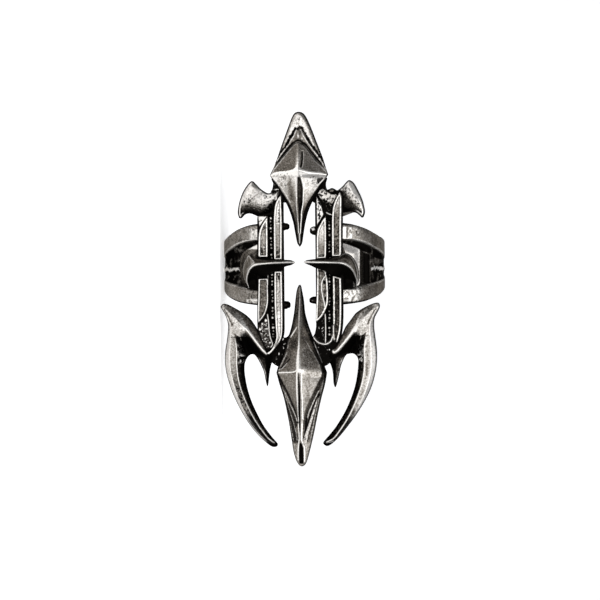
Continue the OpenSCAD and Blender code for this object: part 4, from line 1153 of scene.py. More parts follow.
def claw(name, top, root, outer, inner, arm, side, flip, seed):
    """Horn, arm and claw, drawn as the left one. side is 0 for the left one's finish, 1 for the right's."""
    loop = [tuple(p) for p in top] + list(root) + [tuple(p) for p in inner] + [tuple(p) for p in outer[::-1]]
    R = Relief(name, smooth(loop, corners=(0,), closed=True))
    X, Y = R.X, R.Y
    tip_end = (outer[-1][0] + inner[-1][0]) / 2, (outer[-1][1] + inner[-1][1]) / 2
    # The right one's outer facet is flatter
    fall = [(-5, 11.1), (-7.5, 10.85), (-10, 10.8), (-16, 10.6), (-24.5, 10.1)] if side else [(-5, 11.0), (-7.5, 10.35), (-10, 10.2), (-19, 10.15), (-24.5, 10.1)]
    out_line = smooth([(x, y, table(fall, y)) for x, y in outer])
    ridge_a = smooth([(-10.58, -5.5, 11.2), (-10.22, -6.15, 11.5), (-9.75, -7.0, 11.6), (-9.42, -7.9, 11.65),
                      (-9.34, -8.8, 11.6), (-9.44, -10.5, 11.55), (-9.52, -12.5, 11.5), (-9.44, -14.0, 11.45),
                      (-9.12, -15.6, 11.4), (-8.50, -17.55, 11.35), (-7.74, -19.3, 11.3), (-6.70, -21.05, 11.2),
                      (-5.62, -22.5, 11.1), (-4.6, -23.55, 11.0), tip_end + (10.7,)])
    ridge_b = smooth([(-8.95, -9.0, 11.45), (-8.72, -10.2, 11.4), (-8.60, -11.3, 11.35), (-8.60, -13.0, 11.35),
                      (-8.50, -14.5, 11.35), (-8.15, -16.2, 11.3), (-7.48, -18.1, 11.3), (-6.72, -19.8, 11.25), (-6.02, -21.05, 11.2),
                      (-5.1, -22.4, 11.1), (-4.25, -23.4, 11.0), tip_end + (10.75,)])
    in_line = smooth([(-8.2, -9.6, 10.4), (-7.7, -11.5, 10.2)] + [(x, y, 9.95) for x, y in inner[3:]])
    top_line = smooth([(x, y, table([(-11, 11.05), (-9, 10.8), (-6, 11.15), (-4.5, 11.55), (-3, 11.6)], x)) for x, y in top + root[:3]])
    arm = smooth(arm)
    base, _ = R.loft([out_line, ridge_a, ridge_b, in_line], hollow=[0.0, 0.12, -0.1])
    up, hit_up = R.loft([top_line, arm], hollow=[0.06])
    da, dr, db = near(X, Y, arm), near(X, Y, ridge_a), near(X, Y, ridge_b)
    fan = inside(X, Y, np.vstack([arm[:, :2], ridge_a[::-1, :2]])) & (Y > -13.2)
    between = (da[3] * dr[0] + dr[3] * da[0]) / (da[0] + dr[0] + 1e-9) - 0.1 * np.minimum(da[0], dr[0])
    low_arm = ~hit_up & (X > -8.0) & (Y > -13.3) & (da[0] < 2.2)
    Z = np.where(hit_up, up, base)
    Z = np.where(low_arm, np.maximum(da[3] - 0.9 * da[0], 10.1), Z)
    mid_high = fan & (Y > -9.6) & (X < -7.4) & ~hit_up
    R.Z = np.where(mid_high, np.maximum(between, 10.4), Z)
    outside = inside(X, Y, np.vstack([out_line[:, :2], ridge_a[::-1, :2]]))
    middle = inside(X, Y, np.vstack([ridge_a[:, :2], ridge_b[::-1, :2]])) & (Y < -9.3)
    inner_side = inside(X, Y, np.vstack([ridge_b[:, :2], in_line[::-1, :2]]))
    grain = noise(X, Y, 0.3, seed)
    d_out = near(X, Y, out_line)[0]
    # Satin outside, turning black towards the point
    black_end = rise(-18.2 - Y, 3.0)
    R.shade = np.full(X.shape, 0.5)
    satin = (0.95 if side else 0.93) + 0.08 * grain
    R.shade = np.where(outside, satin, R.shade)
    f = dr[0] / (dr[0] + db[0] + 1e-6)
    if side:
        mottle = (0.16 + 0.30 * rise(noise(X, Y, 0.24, seed + 9) + 0.05, 0.3)) * bump(np.abs(f - 0.58), 0.45)
        R.shade = np.where(middle, 0.83 - mottle * rise(-9.5 - Y, 2), R.shade)
        R.bright = np.where(outside, (0.45 + 0.8 * grain) * rise(d_out - 0.12, 0.2) * (1 - black_end), R.bright)
        R.dark = np.where(middle, 0.95 * black_end, R.dark)
        R.dark = np.where(outside, 0.8 * black_end * rise(d_out - 0.28, 0.2), R.dark)
    else:
        R.shade = np.where(middle, 0.56 + 0.12 * rise(Y + 15.5, 2.0) + 0.14 * noise(X, Y, 0.17, seed + 9) - 0.30 * (bump(f, 0.35) + bump(1 - f, 0.35)), R.shade)
        strip = bump(np.abs(f - 0.5), 0.5)
        rough = rise(-14.5 - Y, 2) * (1 - rise(-19.0 - Y, 1.5))
        R.dark = np.where(middle, np.maximum((0.45 - 0.25 * rise(Y + 15.5, 2.0)) * strip, 0.98 * rise(-18.5 - Y, 2.0)), R.dark)
        R.dark = np.where(middle, np.maximum(R.dark, 0.95 * rough * rise(noise(X * 0.6, Y * 1.3, 0.2, seed + 7) + 0.15, 0.3)), R.dark)
        R.dark = np.where(outside, 0.95 * rise(-19.0 - Y, 2.5) * rise(d_out - 0.16, 0.12), R.dark)
    # The arm: bright from the horn down its ridge, darker over it, black under it
    fine = noise(X, Y, 0.17, seed + 11)
    R.shade = np.where(hit_up, 0.52 - 0.22 * rise(da[0] - 0.2, 0.8) - 0.14 * rise(X + 7.6, 2.0) + 0.2 * fine, R.shade)
    R.dark = np.where(hit_up, np.maximum(R.dark, 0.7 * rise(fine - 0.1, 0.3)), R.dark)
    R.shade = np.where(mid_high, 0.72 + 0.16 * fine, R.shade)
    hollow = smooth([(-8.3, -10.8), (-8.1, -10.0), (-7.85, -9.45), (-7.6, -9.15), (-7.3, -9.2), (-6.9, -9.7),
                     (-6.2, -10.62), (-5.5, -11.5), (-4.95, -12.1), (-4.9, -13.4), (-6.6, -13.0), (-7.4, -13.4), (-8.2, -13.2),
                     (-8.3, -12.0)], closed=True)
    R.dark = np.where(low_arm, np.maximum(R.dark, 0.98 * rise(da[0] - 0.1, 0.2) * rise(-8.7 - Y, 1.0)), R.dark)
    R.sink(hollow, 1.15, 1.0, 1.0, out=0.1)
    into = signed(X, Y, hollow)[0]
    R.dark = np.maximum(R.dark, (0.95 - 0.06 * rise(fine, 0.3)) * rise(into + 0.55 - 0.4 * rise(-7.6 - X, 0.6) + 0.3 * fine, 0.8) * rise(-8.2 - Y, 0.8))
    w = np.interp(X, [-10.6, -9.9, -9.0, -8.2, -7.4, -6.6, -5.5, -4.4], [0.35, 0.55, 0.95, 0.95, 0.5, 0.27, 0.19, 0.18])
    # The ridge keeps its full width above and less below, where the hollow starts
    w = np.where(hit_up, w, np.minimum(w, np.interp(X, [-10.6, -8.6, -7.8, -7.0], [1.4, 1.2, 0.45, 0.2])))
    b = rise(1 - da[0] / w + 0.45 * fine * rise(-6.8 - X, 0.8), 0.55) * (Y > -12.4)
    R.bright = np.maximum(R.bright, (0.95 - 0.66 * rise(-7.4 - X, 0.8) + 0.2 * fine * rise(-7.4 - X, 0.8)) * b)
    R.dark *= 1 - np.minimum(1, 1.3 * b)
    # A darker streak down the horn, with a light line on its outer side
    streak = smooth([(-10.2, -5.95), (-9.85, -6.5), (-9.45, -7.25), (-9.12, -7.95)])
    ds = near(X, Y, streak)[0]
    R.bright *= 1 - 0.9 * bump(ds, 0.2)
    R.shade = R.shade - 0.5 * bump(ds, 0.22)
    R.Z -= 0.06 * bump(ds, 0.2)
    fade_a = np.interp(-ridge_a[:, 1], [5.4, 8.5, 10, 16, 19, 24], [0.9, 0.6, 0.9, 0.9, 0.25, 0.0]) * (0.35 if side else 1)
    R.line(np.column_stack([ridge_a[:, :2], fade_a]), 0.16, 0.03, 0.95)
    fade_b = np.interp(-ridge_b[:, 1], [9.5, 10.6, 24], [0.0, 1.0, 1.0])
    R.line(np.column_stack([ridge_b[:, :2], fade_b]), 0.125, 0.05, 1.0)
    if not side:
        d2 = near(X, Y, smooth([(x + 0.2, y + 0.05) for x, y in outer[8:]]))[0]
        R.bright = np.maximum(R.bright, 0.75 * bump(d2, 0.09) * rise(-17 - Y, 2) * (1 - rise(-22 - Y, 1.5)))
    # The inner side is black but for some roughness at its top
    m = np.where(inner_side, rise(db[0] - 0.09, 0.1), 0)
    rough = rise(Y + 17.5, 4) * bump(db[0] - 0.2, 0.45)
    R.shade = np.where(inner_side, 0.35, R.shade)
    R.dark = np.maximum(R.dark, m * (0.97 - 0.5 * rough * rise(noise(X, Y, 0.2, seed + 1) + 0.1, 0.4)
                                     - 0.22 * bump(db[0] - 0.3, 0.3) * rise(noise(X, Y, 0.18, seed + 3) + 0.15, 0.3)))
    knot = R.area([(-8.45, -10.5), (-7.95, -10.8), (-7.6, -12.1), (-7.75, -13.0), (-8.35, -13.2)], 0.3)
    hit = knot * rise(noise(X, Y, 0.22, seed + 2) + 0.08, 0.15)
    R.bright = np.maximum(R.bright, hit)
    R.Z += 0.14 * hit
    R.dark *= 1 - hit
    # Black points, with one worn line up to near the end
    far = np.hypot(X - tip_end[0], Y - tip_end[1])
    point = rise(2.6 - far, 1.4)
    R.bright *= 1 - np.maximum(point * rise(np.minimum(dr[0], db[0]) - 0.07, 0.06), rise(0.55 - far, 0.2))
    R.dark = np.maximum(R.dark, 0.97 * point * rise(np.minimum(dr[0], db[0]) - 0.05, 0.06))
    R.dark = np.maximum(R.dark, 0.97 * rise(0.55 - far, 0.2))
    R.round_edges(0.16, 0.9)
    R.outline(0.19, 0.95)
    R.dark = np.maximum(R.dark, 0.85 * R.edge(0.1, 0.1) * rise(Y + 12.5, 0.5))
    R.bright *= 1 - R.edge(0.1, 0.1) * rise(Y + 12.5, 0.5)
    R.soften(0.045)
    back = table([(-8, 9.9), (-10, 9.5), (-24.5, 9.7)], Y)
    back = np.where(X < -8.6, np.maximum(back, table([(-5.0, 10.55), (-7.0, 10.0), (-9.0, 9.5), (-25, 9.5)], Y)), back)
    back = np.minimum(back, R.Z - 0.2)
    mesh_relief(R, back, flip=flip, grid_back=True)


def spike(name, outline, line, flip):
    R = Relief(name, smooth(outline, closed=True), h=0.06)
    d = near(R.X, R.Y, smooth(line))
    f = np.clip(R.D, 0, None) / (np.clip(R.D, 0, None) + d[0] + 1e-6)
    R.Z = 10.35 + (d[3] - 10.35) * f
    # Worn on its outer side, black on its inner one
    xl = np.interp(-R.Y, *np.array([(-p[1], p[0]) for p in sorted([q[:2] for q in line], key=lambda q: -q[1])]).T)
    outer = rise(xl - 0.02 - R.X, 0.12) * rise(-12.2 - R.Y, 0.8)
    R.shade = 0.16 + 0.12 * outer + 0.1 * noise(R.X, R.Y, 0.2, 17)
    R.dark = np.maximum(0.97 * (1 - outer), 0.8 * rise(R.D - 0.3, 0.3))
    worn = 0.9 * bump(np.abs(R.D - 0.17), 0.11) * outer * rise(noise(R.X, R.Y, 0.3, 18) + (0.1 if flip else 0.7), 0.3)
    R.bright = worn
    R.dark *= 1 - worn
    R.outline(0.1, 0.95)
    R.soften(0.035)
    mesh_relief(R, np.minimum(9.9, R.Z - 0.15), flip=flip, grid_back=True)


def thorn(name, upper, ridge, lower, facet, collar, flip, seed, collar_shade):
    """A thorn that rises out of the band and bends over the pillar, drawn as the left one."""
    up, rd, lo = smooth(upper), smooth(ridge), smooth(lower)
    loop = np.vstack([up[:, :2], lo[::-1, :2]])
    R = Relief(name, loop, h=0.06)
    R.Z, _ = R.loft([up, rd, lo], hollow=[0.05, 0.12])
    X, Y = R.X, R.Y
    d = near(X, Y, rd)
    upper_side = inside(X, Y, np.vstack([up[:, :2], rd[::-1, :2]]))
    du = near(X, Y, up)[0]
    f = du / (du + d[0] + 1e-6)
    # The upper face is dark along the thin part, with faint arcs where it widens; below the ridge the lower face is
    # black, patina and painted shade together
    wide = rise(-3.6 - X, 1.6)
    arcs = np.sin(11 * du + 2.2 * noise(X, Y, 1.2, seed)) * wide
    R.shade = np.where(upper_side, 0.22 + 0.14 * wide * rise(f - 0.35, 0.4) + 0.10 * arcs, 0.12)
    R.dark = np.where(upper_side, 0.95 * (1 - rise(f - 0.1, 0.3)) * (1 - 0.6 * wide) + 0.75 * (1 - wide) * (1 - f), 0.98 * rise(d[0] - 0.08, 0.12))
    R.shade += np.where(~upper_side, 0.16 * bump(np.abs(d[0] - 0.75), 0.16) * rise(-2.6 - X, 1) * rise(X + 5.6, 1), 0)
    face = smooth(facet, closed=True)
    m = R.area(face[:, :2], 0.1) * upper_side
    m = m * (rise(-6.3 - X, 0.6) if flip else 1.0)
    R.shade = R.shade * (1 - m) + (0.46 + 0.05 * arcs) * m
    R.dark *= 1 - m
    if flip:
        edge = bump(np.abs(du - 0.10), 0.08) * rise(-5.2 - X, 0.6)
        R.dark = np.maximum(R.dark, 0.9 * bump(np.abs(du - 0.27), 0.13) * rise(-5.2 - X, 0.6))
    else:
        edge = bump(np.abs(signed(X, Y, face)[0] - 0.07), 0.09) * (0.3 + 0.7 * rise(X + 7.3, 0.3))
    R.bright = np.maximum(R.bright, 0.6 * edge * upper_side)
    width = np.interp(X, [-7.4, -6.9, -6.2, -5.2, -3, -0.6], [0.12, 0.2, 0.25, 0.17, 0.19, 0.2])
    R.bright = np.maximum(R.bright, bump(d[0] / width, 1.0))
    R.dark *= 1 - bump(d[0] / width, 0.9)
    R.outline(0.1, 0.95, 1 - bump(d[0], 0.22))
    R.soften(0.04)
    back = table([(-8, 7.8), (-7, 8.0), (-6, 9.4), (-5, 11.2), (-2.2, 11.9), (-0.5, 12.3)], X)
    mesh_relief(R, np.minimum(back, R.Z - 0.15), flip=flip, grid_back=True)
    # The rounded collar that it rises from, inside the band's slot. Its tone, collar_shade, is painted light and shade:
    # dark and black towards the bottom on the left one, pale on the right one, painted black shadow inside the window
    # below the thorn, and on the left one a white patch of painted light
    C = Relief(name, smooth(collar, closed=True), h=0.08)
    f = rise(C.D, 1.0)
    C.Z = table([(-8.3, 8.2), (-7.4, 8.8), (-6.4, 9.3), (-5.2, 9.6)], C.X) + 0.5 * f
    C.shade = collar_shade + 0.08 * noise(C.X, C.Y, 0.9, seed) + 0.12 * rise(C.Y - 0.5, 2) + 0 * f
    C.dark = np.maximum(0.9 * rise(-1.6 - C.Y, 1.0) * (1 - rise(collar_shade - 0.4 + 0 * C.Y, 0.1)),
                        0.98 * rise(C.X + 7.35, 0.3) * rise(-0.6 - C.Y, 0.6))
    if flip:
        C.bright = 0.9 * bump(np.hypot(C.X + 7.7, C.Y - 1.95), 0.28)
    else:
        C.dark = np.maximum(C.dark, 0.6 * rise(np.sin(9 * C.D + C.X) + 0.2, 0.8) * rise(C.D - 0.1, 0.3))
        m = C.area([(-7.06, 2.12), (-6.4, 2.5), (-5.8, 2.8), (-5.2, 2.9), (-5.2, 2.15), (-6.0, 2.2), (-6.6, 2.2)], 0.12)
        C.bright = 0.97 * m
        C.dark *= 1 - m
    C.outline(0.08, 0.9)
    mesh_relief(C, table([(-8.3, 7.3), (-7.4, 7.9), (-6.4, 8.4), (-5.2, 8.6)], C.X), flip=flip, grid_back=True)


def webs():
    """Blackened plates that join the spearheads to the pillars."""
    low_l = [(-4.1, -9.2), (-2.5, -9.5), (-2.15, -9.75), (-1.7, -9.55), (-1.25, -9.0), (-1.2, -10.5), (-2.2, -13.6), (-3.3, -13.5), (-4.4, -12.4), (-4.6, -11.2)]
    low_r = [(4.1, -9.2), (2.5, -9.7), (1.9, -9.85), (1.55, -9.6), (1.25, -9.1), (1.2, -10.5), (2.2, -13.6), (3.5, -13.5), (4.5, -12.4), (4.7, -11.2)]
    up_l = [(-3.9, 9.74), (-3.65, 10.2), (-3.5, 11.0), (-3.68, 11.66), (-2.2, 11.6), (-1.4, 9.6), (-1.9, 8.4), (-2.3, 8.6),
            (-2.5, 9.5), (-2.75, 10.15), (-3.3, 10.0)]
    up_r = [(4.4, 9.4), (3.7, 10.2), (3.6, 11.0), (3.72, 11.7), (2.2, 11.6), (1.4, 9.6), (1.9, 8.4), (3.2, 8.4)]
    for loop, spots in ((low_l, ((-2.45, -9.95, 0.32, 0.25), (-2.2, -10.6, 0.13, 0.13), (-2.28, -11.15, 0.13, 0.13), (-2.9, -11.9, 0.1, 0.2),
                                 (-2.4, -12.1, 0.12, 0.25), (-3.3, -11.3, 0.1, 0.1))),
                        (low_r, ((2.25, -9.75, 0.45, 0.35), (2.75, -10.15, 0.3, 0.2), (3.9, -11.4, 0.12, 0.2))),
                        (up_l, ((-2.9, 10.15, 0.5, 0.14),)),
                        (up_r, ((2.75, 9.9, 0.3, 0.25), (3.1, 9.5, 0.3, 0.3)))):
        R = Relief("webs", smooth(loop, closed=True))
        X, Y = R.X, R.Y
        R.Z = 10.75 + 0.1 * noise(X, Y, 0.7, 91)
        R.dark[:] = 0.97
        R.shade[:] = 0.35
        worn = 0.5 * rise(noise(X, Y, 0.3, 93) - 0.55, 0.12)
        for cx, cy, rx, ry in spots:
            worn = np.maximum(worn, 0.95 * rise(bump(np.hypot((X - cx) / rx, (Y - cy) / ry), 1.5) + 0.25 * noise(X, Y, 0.15, 95) - 0.35, 0.25))
        R.Z += 0.1 * worn
        R.bright = worn
        R.dark *= 1 - worn
        mesh_relief(R, 10.05)


# ---------------------------------------------------------------- band

BAND = [(-12, 3.1, -3.1), (-5, 3.2, -3.25), (0, 3.55, -3.5), (2.5, 3.8, -4.0), (4.6, 4.3, -4.45),
        (6.6, 4.95, -4.95), (8.4, 5.48, -5.25), (9.4, 5.65, -5.4), (12, 5.7, -5.5)]
SLOT = [(-4, -0.2, -0.5), (-3, 0.5, -1.2), (0.5, 1.25, -1.9), (2.5, 1.7, -2.15), (5, 2.4, -2.5),
        (6.5, 2.9, -2.75), (8, 3.3, -3.0), (12, 3.6, -3.2)]


def shank():
    def edges(rows, s):
        z = BAND_R * np.cos(s / 10)
        r = np.array(rows)
        return np.interp(z, r[:, 0], r[:, 1]), np.interp(z, r[:, 0], r[:, 2])

    end = 10 * (math.pi - math.asin(4.0 / BAND_R))
    s = np.linspace(-end, end, 260)
    top, bottom = edges(BAND, s)
    loop = np.vstack([np.stack([s, bottom], 1), np.stack([s[::-1], top[::-1]], 1)])
    a = 10 * math.radians(56)
    s = np.linspace(-a, a, 80)
    top, bottom = edges(SLOT, s)
    # A blackened ledge lies under the upper rails
    top = top - np.interp(s, [-a, -8.2, -5.5, -3, 3, 5.5, 8.2, a], [1.2, 0.95, 0.75, 0.2, 0.2, 0.42, 0.75, 0.95])
    hole = np.vstack([np.stack([s, bottom], 1), np.stack([s[::-1], top[::-1]], 1)])
    w = 2.75  # the rails end behind the pillars, where the nubs go on
    R = Relief("shank", loop, holes=[hole], h=0.1)
    X, Y = R.X, R.Y
    # Two bodies: the rails are cut at the centre window
    cut = np.abs(X) - w
    R.D = np.where(cut < R.D, cut, R.D)
    near_cut = np.abs(R.D - cut) < 1e-9
    R.CX = np.where(near_cut, np.sign(X) * w, R.CX)
    R.CY = np.where(near_cut, Y, R.CY)
    R.Z = np.full(X.shape, BAND_R)
    R.round_edges(0.5, 0.8)
    # Across the ring, for what lies at the front
    U = BAND_R * np.sin(X / 10) + 0.0593 * (11.3 - BAND_R * np.cos(X / 10)) - 0.009 * Y
    front = np.cos(X / 10) > -0.12
    left, right = U < 0, U > 0
    top, bottom = edges(SLOT, X)
    inner = np.minimum(top - Y, Y - bottom)
    rec = rise(inner + 0.02, 0.14)
    deep = table([(0, 0.5), (11.0, 0.5), (14.0, 0.13), (30, 0.13)], np.abs(X))
    R.Z -= deep * rec
    upper = Y > 0
    rail = 1 - rec
    # Mottled patina tone, with painted light across the front of the ring: lighter towards the far left, where the band
    # faces the floor, and around the right side; the upper rails a touch lighter than the lower
    R.shade = (0.44 + 0.10 * noise(X, Y, 2.2, 13) + 0.04 * noise(X, Y, 0.5, 14)
               + table([(-11, 0.16), (-9.3, 0.13), (-7, 0.05), (0, 0.0), (6, 0.10), (9, 0.03), (11, 0.0)], U) * front
               + np.where(Y > 0, 0.03, -0.03))
    R.dark = np.maximum(R.dark, rail * 0.4 * rise(noise(X, Y, 0.5, 19) - 0.2, 0.3) * np.where(upper, 1.0, 0.6))
    R.dark = np.maximum(R.dark, rail * 0.55 * rise(noise(X, Y, 0.3, 20) - 0.1, 0.3)
                        * np.maximum(bump(np.hypot((U + 7.2) / 1.8, (Y - 5.0) / 1.0), 1.0), bump(np.hypot((U + 6.2) / 1.1, (Y + 3.9) / 1.0), 1.0)))
    # The recess along the side: black, partly patina and partly painted shade, kept fully black as painted shadow where
    # U runs from 7.9 to 9.9, with brown mottling elsewhere and a torn bright line
    brown = rise(noise(X, Y, 0.7, 21) - 0.05, 0.5) * rise(noise(X, Y, 0.25, 22) + 0.4, 0.5)
    R.dark = np.maximum(R.dark, rec * (0.985 - 0.42 * brown * (1 - rise(U - 7.9, 0.2) * rise(9.9 - U, 0.1))))
    torn = np.abs(Y + 0.5 + 0.22 * noise(X * 1.6, Y * 0, 0.5, 7)) - 0.17 - 0.16 * noise(X, Y, 0.22, 9)
    torn = (1 - rise(torn, 0.07)) * rec * rise(np.abs(U) - np.where(left, 7.9, 10.0), 0.2) * rise(noise(X, Y * 0.5, 0.8, 10) + 0.72, 0.2)
    R.Z += 0.12 * torn
    R.bright = np.maximum(R.bright, 0.97 * torn)
    R.dark *= 1 - torn
    seam = np.maximum(bump(np.abs(U - 9.98), 0.13) * rise(Y + 2.7, 0.3) * rise(1.75 - Y, 0.3),
                      bump(np.abs(Y - 2.1 + 0.4 * (U - 8.2)), 0.12) * rise(U - 8.1, 0.2) * rise(10.0 - U, 0.2)) * rec * front
    R.dark *= 1 - 0.4 * seam
    swell = bump(np.hypot((U - 10.6) / 1.1, (Y - 0.45) / 0.5), 1.0) * rec * front
    R.Z += 0.2 * swell
    R.dark *= 1 - 0.3 * rise(swell, 0.4)
    # A light bevel along the rails' inner edges
    d_edge = np.abs(inner + 0.07)
    fade = np.where(upper, np.where(left, table([(-11, 0.35), (-9.5, 0.55), (-8.5, 0.95), (-5, 0.95)], U), table([(5, 0.95), (8, 0.85), (11, 0.4)], U)),
                    np.where(left, 0.5, 0.3))
    bevel = (1 - rise(d_edge - 0.045, 0.07)) * rail * np.where(front, fade, 0.35)
    R.bright = np.maximum(R.bright, bevel)
    R.dark *= 1 - bevel
    # Rough, worn patches of bright casting
    def patch(u0, u1, y0, y1, v, size, seed, level=0.0, soft=0.35, stretch=1.0, lift=0.04):
        m = rise(U - u0, soft) * rise(u1 - U, soft) * rise(Y - y0, 0.3) * rise(y1 - Y, 0.3) * rail * front
        m = np.clip(m + 2.8 * noise(X, Y, 0.7, seed + 5) * m * (1 - m), 0, 1)
        n = noise(X * stretch, Y, size, seed)
        hit = np.clip(0.55 - level + 1.5 * n, 0, 1) * m
        R.bright = np.maximum(R.bright, v * hit)
        R.dark = R.dark * (1 - hit)
        R.Z = R.Z + lift * hit
        R.dark = np.maximum(R.dark, 0.8 * rise(-n - 0.42 + level, 0.15) * rise(m - 0.2, 0.4))
    patch(-7.5, -5.3, 3.3, 5.2, 0.5, 0.3, 71, 0.1, 0.8, 1.6)
    patch(-6.9, -5.2, 3.2, 5.1, 1.0, 0.25, 72, 0.0, 0.5)
    patch(-7.3, -5.3, -5.15, -4.4, 1.0, 0.24, 73, -0.25, 0.2, 0.8, 0.16)
    patch(-7.6, -5.5, -4.7, -3.2, 0.12, 0.2, 70, 0.15, 0.5)
    patch(5.5, 6.34, 3.2, 5.35, 0.97, 0.3, 74, -0.6, 0.12)
    patch(6.42, 7.3, 3.3, 5.3, 0.85, 0.25, 75, -0.2, 0.35)
    patch(7.0, 8.4, 3.6, 5.2, 0.4, 0.4, 78, -0.1, 0.6)
    patch(5.3, 8.9, -5.3, -2.7, 0.85, 0.2, 76, 0.05, 1.3)
    patch(5.3, 7.2, -5.2, -3.0, 0.95, 0.2, 79, 0.0, 0.7)
    gap = bump(np.abs(U - 6.38 - 0.05 * (Y - 4.4)), 0.15) * rise(Y - 3.55, 0.2) * rise(5.15 - Y, 0.3) * rail * front
    R.dark = np.maximum(R.dark, 0.97 * gap)
    R.bright *= 1 - gap
    # The patina along the outer edges, thickest under the lower rails
    out_top, out_bottom = edges(BAND, X)
    R.dark = np.maximum(R.dark, 0.93 * (1 - rise(out_top - Y - 0.10 - 0.1 * bump(np.abs(np.abs(U) - 5.9), 1.2) * front, 0.1)))
    R.dark = np.maximum(R.dark, 0.95 * (1 - rise(Y - out_bottom - 0.16 - 0.1 * bump(np.abs(U - 6.5), 1.5) * front, 0.1)))
    edge = (1 - rise(out_top - Y - 0.1, 0.1)) + (1 - rise(Y - out_bottom - 0.14, 0.1))
    R.bright *= 1 - np.clip(edge, 0, 1)
    R.dark = np.maximum(R.dark, 0.5 * R.edge(0.05, 0.08))
    R.soften(0.08)

    def wrap(P):
        t = P[:, 0] / 10
        return np.stack([P[:, 2] * np.sin(t), P[:, 1], P[:, 2] * np.cos(t)], 1)

    full = R.D.copy()
    for side in (-1, 1):
        R.D = np.where(np.sign(X) == side, full, np.minimum(full, -1.0))
        mesh_relief(R, BORE_R, place=wrap, grid_back=True, wall_dark=0.75, back_dark=0.12)


def nubs():
    """The rounded ends of the rails, in the centre window."""
    rng = np.random.RandomState(4)
    for x0, x1, y, r, z, worn in ((-3.1, -1.37, 5.2, 0.55, 10.1, 0.12), (3.1, 1.34, 4.6, 0.68, 10.1, 0.95),
                                  (-3.1, -1.32, -5.35, 0.6, 10.1, 0.12), (3.1, 1.2, -4.75, 0.55, 10.1, 0.25)):
        nu, nv = 48, 27
        t = np.linspace(0, 1, nv)
        ax = x0 + (x1 - x0) * np.sin(t * math.pi / 2)
        rad = r * np.cos(t * math.pi / 2) ** 0.55
        ph = np.arange(nu) / nu * 2 * math.pi
        A, PH = np.meshgrid(ax, ph, indexing="ij")
        rough = gauss(rng.uniform(-1, 1, (nv, nu)), 1.5)
        RR = rad[:, None] * (1 + 0.08 * np.sin(3 * PH + x0) + 0.35 * rough)
        V = np.stack([A, y + RR * np.cos(PH), z + 0.9 * RR * np.sin(PH)], -1).reshape(-1, 3)
        i, j = np.meshgrid(np.arange(nv - 1), np.arange(nu), indexing="ij")
        q = np.stack([i * nu + j, i * nu + (j + 1) % nu, (i + 1) * nu + (j + 1) % nu, (i + 1) * nu + j], -1).reshape(-1, 4)
        g = [list(range(nu))[::-1], [(nv - 1) * nu + k for k in range(nu)]]
        if x1 < x0:
            q, g = q[:, ::-1], [k[::-1] for k in g]
        lump = np.clip((V[:, 2] - z) / r, 0, 1)
        spots = rise(rough.reshape(-1) - 0.12, 0.06) * rise(lump - 0.3, 0.3) * worn
        tone = np.stack([(0.97 - 0.12 * rise(lump - 0.55, 0.4)) * (1 - spots), spots, np.full(len(V), 0.5), np.full(len(V), 0.35)], 1)
        add_part("nubs", V, q, g, tone)


# ---------------------------------------------------------------- the two sides

WING_L = [(-6.42, 11.38), (-6.99, 10.93), (-7.6, 10.03), (-8.02, 9.04), (-8.3, 7.96), (-8.4, 7.06), (-8.22, 6.4),
          (-7.95, 6.35), (-7.63, 6.66), (-7.38, 6.88), (-6.97, 7.0), (-6.42, 6.92), (-5.64, 6.58), (-4.8, 6.4),
          (-4.0, 7.0), (-3.0, 8.2), (-2.4, 9.2), (-2.6, 10.35), (-3.24, 10.13), (-3.85, 9.76), (-4.27, 9.7),
          (-4.75, 9.94), (-5.34, 10.37), (-5.92, 10.97)]
WING_R = [(-6.70, 11.38), (-7.27, 11.0), (-7.86, 9.96), (-8.33, 8.92), (-8.62, 7.9), (-8.74, 7.0), (-8.5, 6.33),
          (-8.3, 6.3), (-8.02, 6.6), (-7.55, 6.95), (-7.11, 6.98), (-6.5, 6.75), (-5.9, 6.53), (-5.0, 6.4),
          (-4.0, 7.0), (-3.0, 8.2), (-2.6, 9.2), (-3.0, 10.4), (-3.7, 10.1), (-4.05, 10.13), (-4.43, 10.3), (-4.8, 10.12),
          (-5.1, 10.0), (-5.79, 10.56), (-6.25, 11.07)]
CREST = [(-6.6, 10.6, 10.3), (-7.2, 9.4, 10.35), (-7.3, 8.2, 10.4), (-6.4, 8.1, 10.7), (-5.2, 8.3, 10.95), (-3.0, 8.9, 11.2)]

CLAW_L = dict(
    top=[(-10.68, -5.45), (-10.35, -5.1), (-9.6, -5.28), (-8.52, -5.87), (-7.43, -6.58), (-6.71, -7.25), (-6.05, -8.2)],
    outer=[(-10.62, -5.75), (-10.14, -6.58), (-9.82, -7.61), (-9.77, -8.33), (-9.92, -9.8), (-10.16, -11.25),
           (-10.24, -12.36), (-10.21, -13.43), (-9.96, -14.91), (-9.28, -17.06), (-8.44, -18.94), (-7.27, -21.0),
           (-6.1, -22.56), (-4.9, -23.74), (-4.05, -24.37), (-3.5, -24.42), (-3.24, -24.22)],
    root=[(-5.76, -8.75), (-5.25, -9.85), (-4.78, -10.9), (-4.5, -11.6), (-4.0, -12.1), (-3.5, -12.7), (-4.0, -13.0), (-5.2, -12.45),
          (-6.0, -12.12)],
    arm=[(-10.58, -5.5, 11.2), (-9.9, -5.95, 11.65), (-9.1, -6.7, 11.8), (-8.4, -7.4, 11.85), (-7.75, -8.08, 11.85),
         (-7.15, -8.65, 11.8), (-6.66, -9.24, 11.8), (-5.79, -10.4, 11.75), (-5.05, -11.36, 11.7), (-4.54, -11.82, 11.7)],
    inner=[(-6.41, -11.98), (-6.85, -11.98), (-7.33, -12.42), (-7.58, -13.03), (-7.63, -14.32), (-7.3, -16.38),
           (-6.73, -18.26), (-5.89, -20.14), (-5.04, -21.69), (-4.03, -23.06), (-3.24, -23.98)])
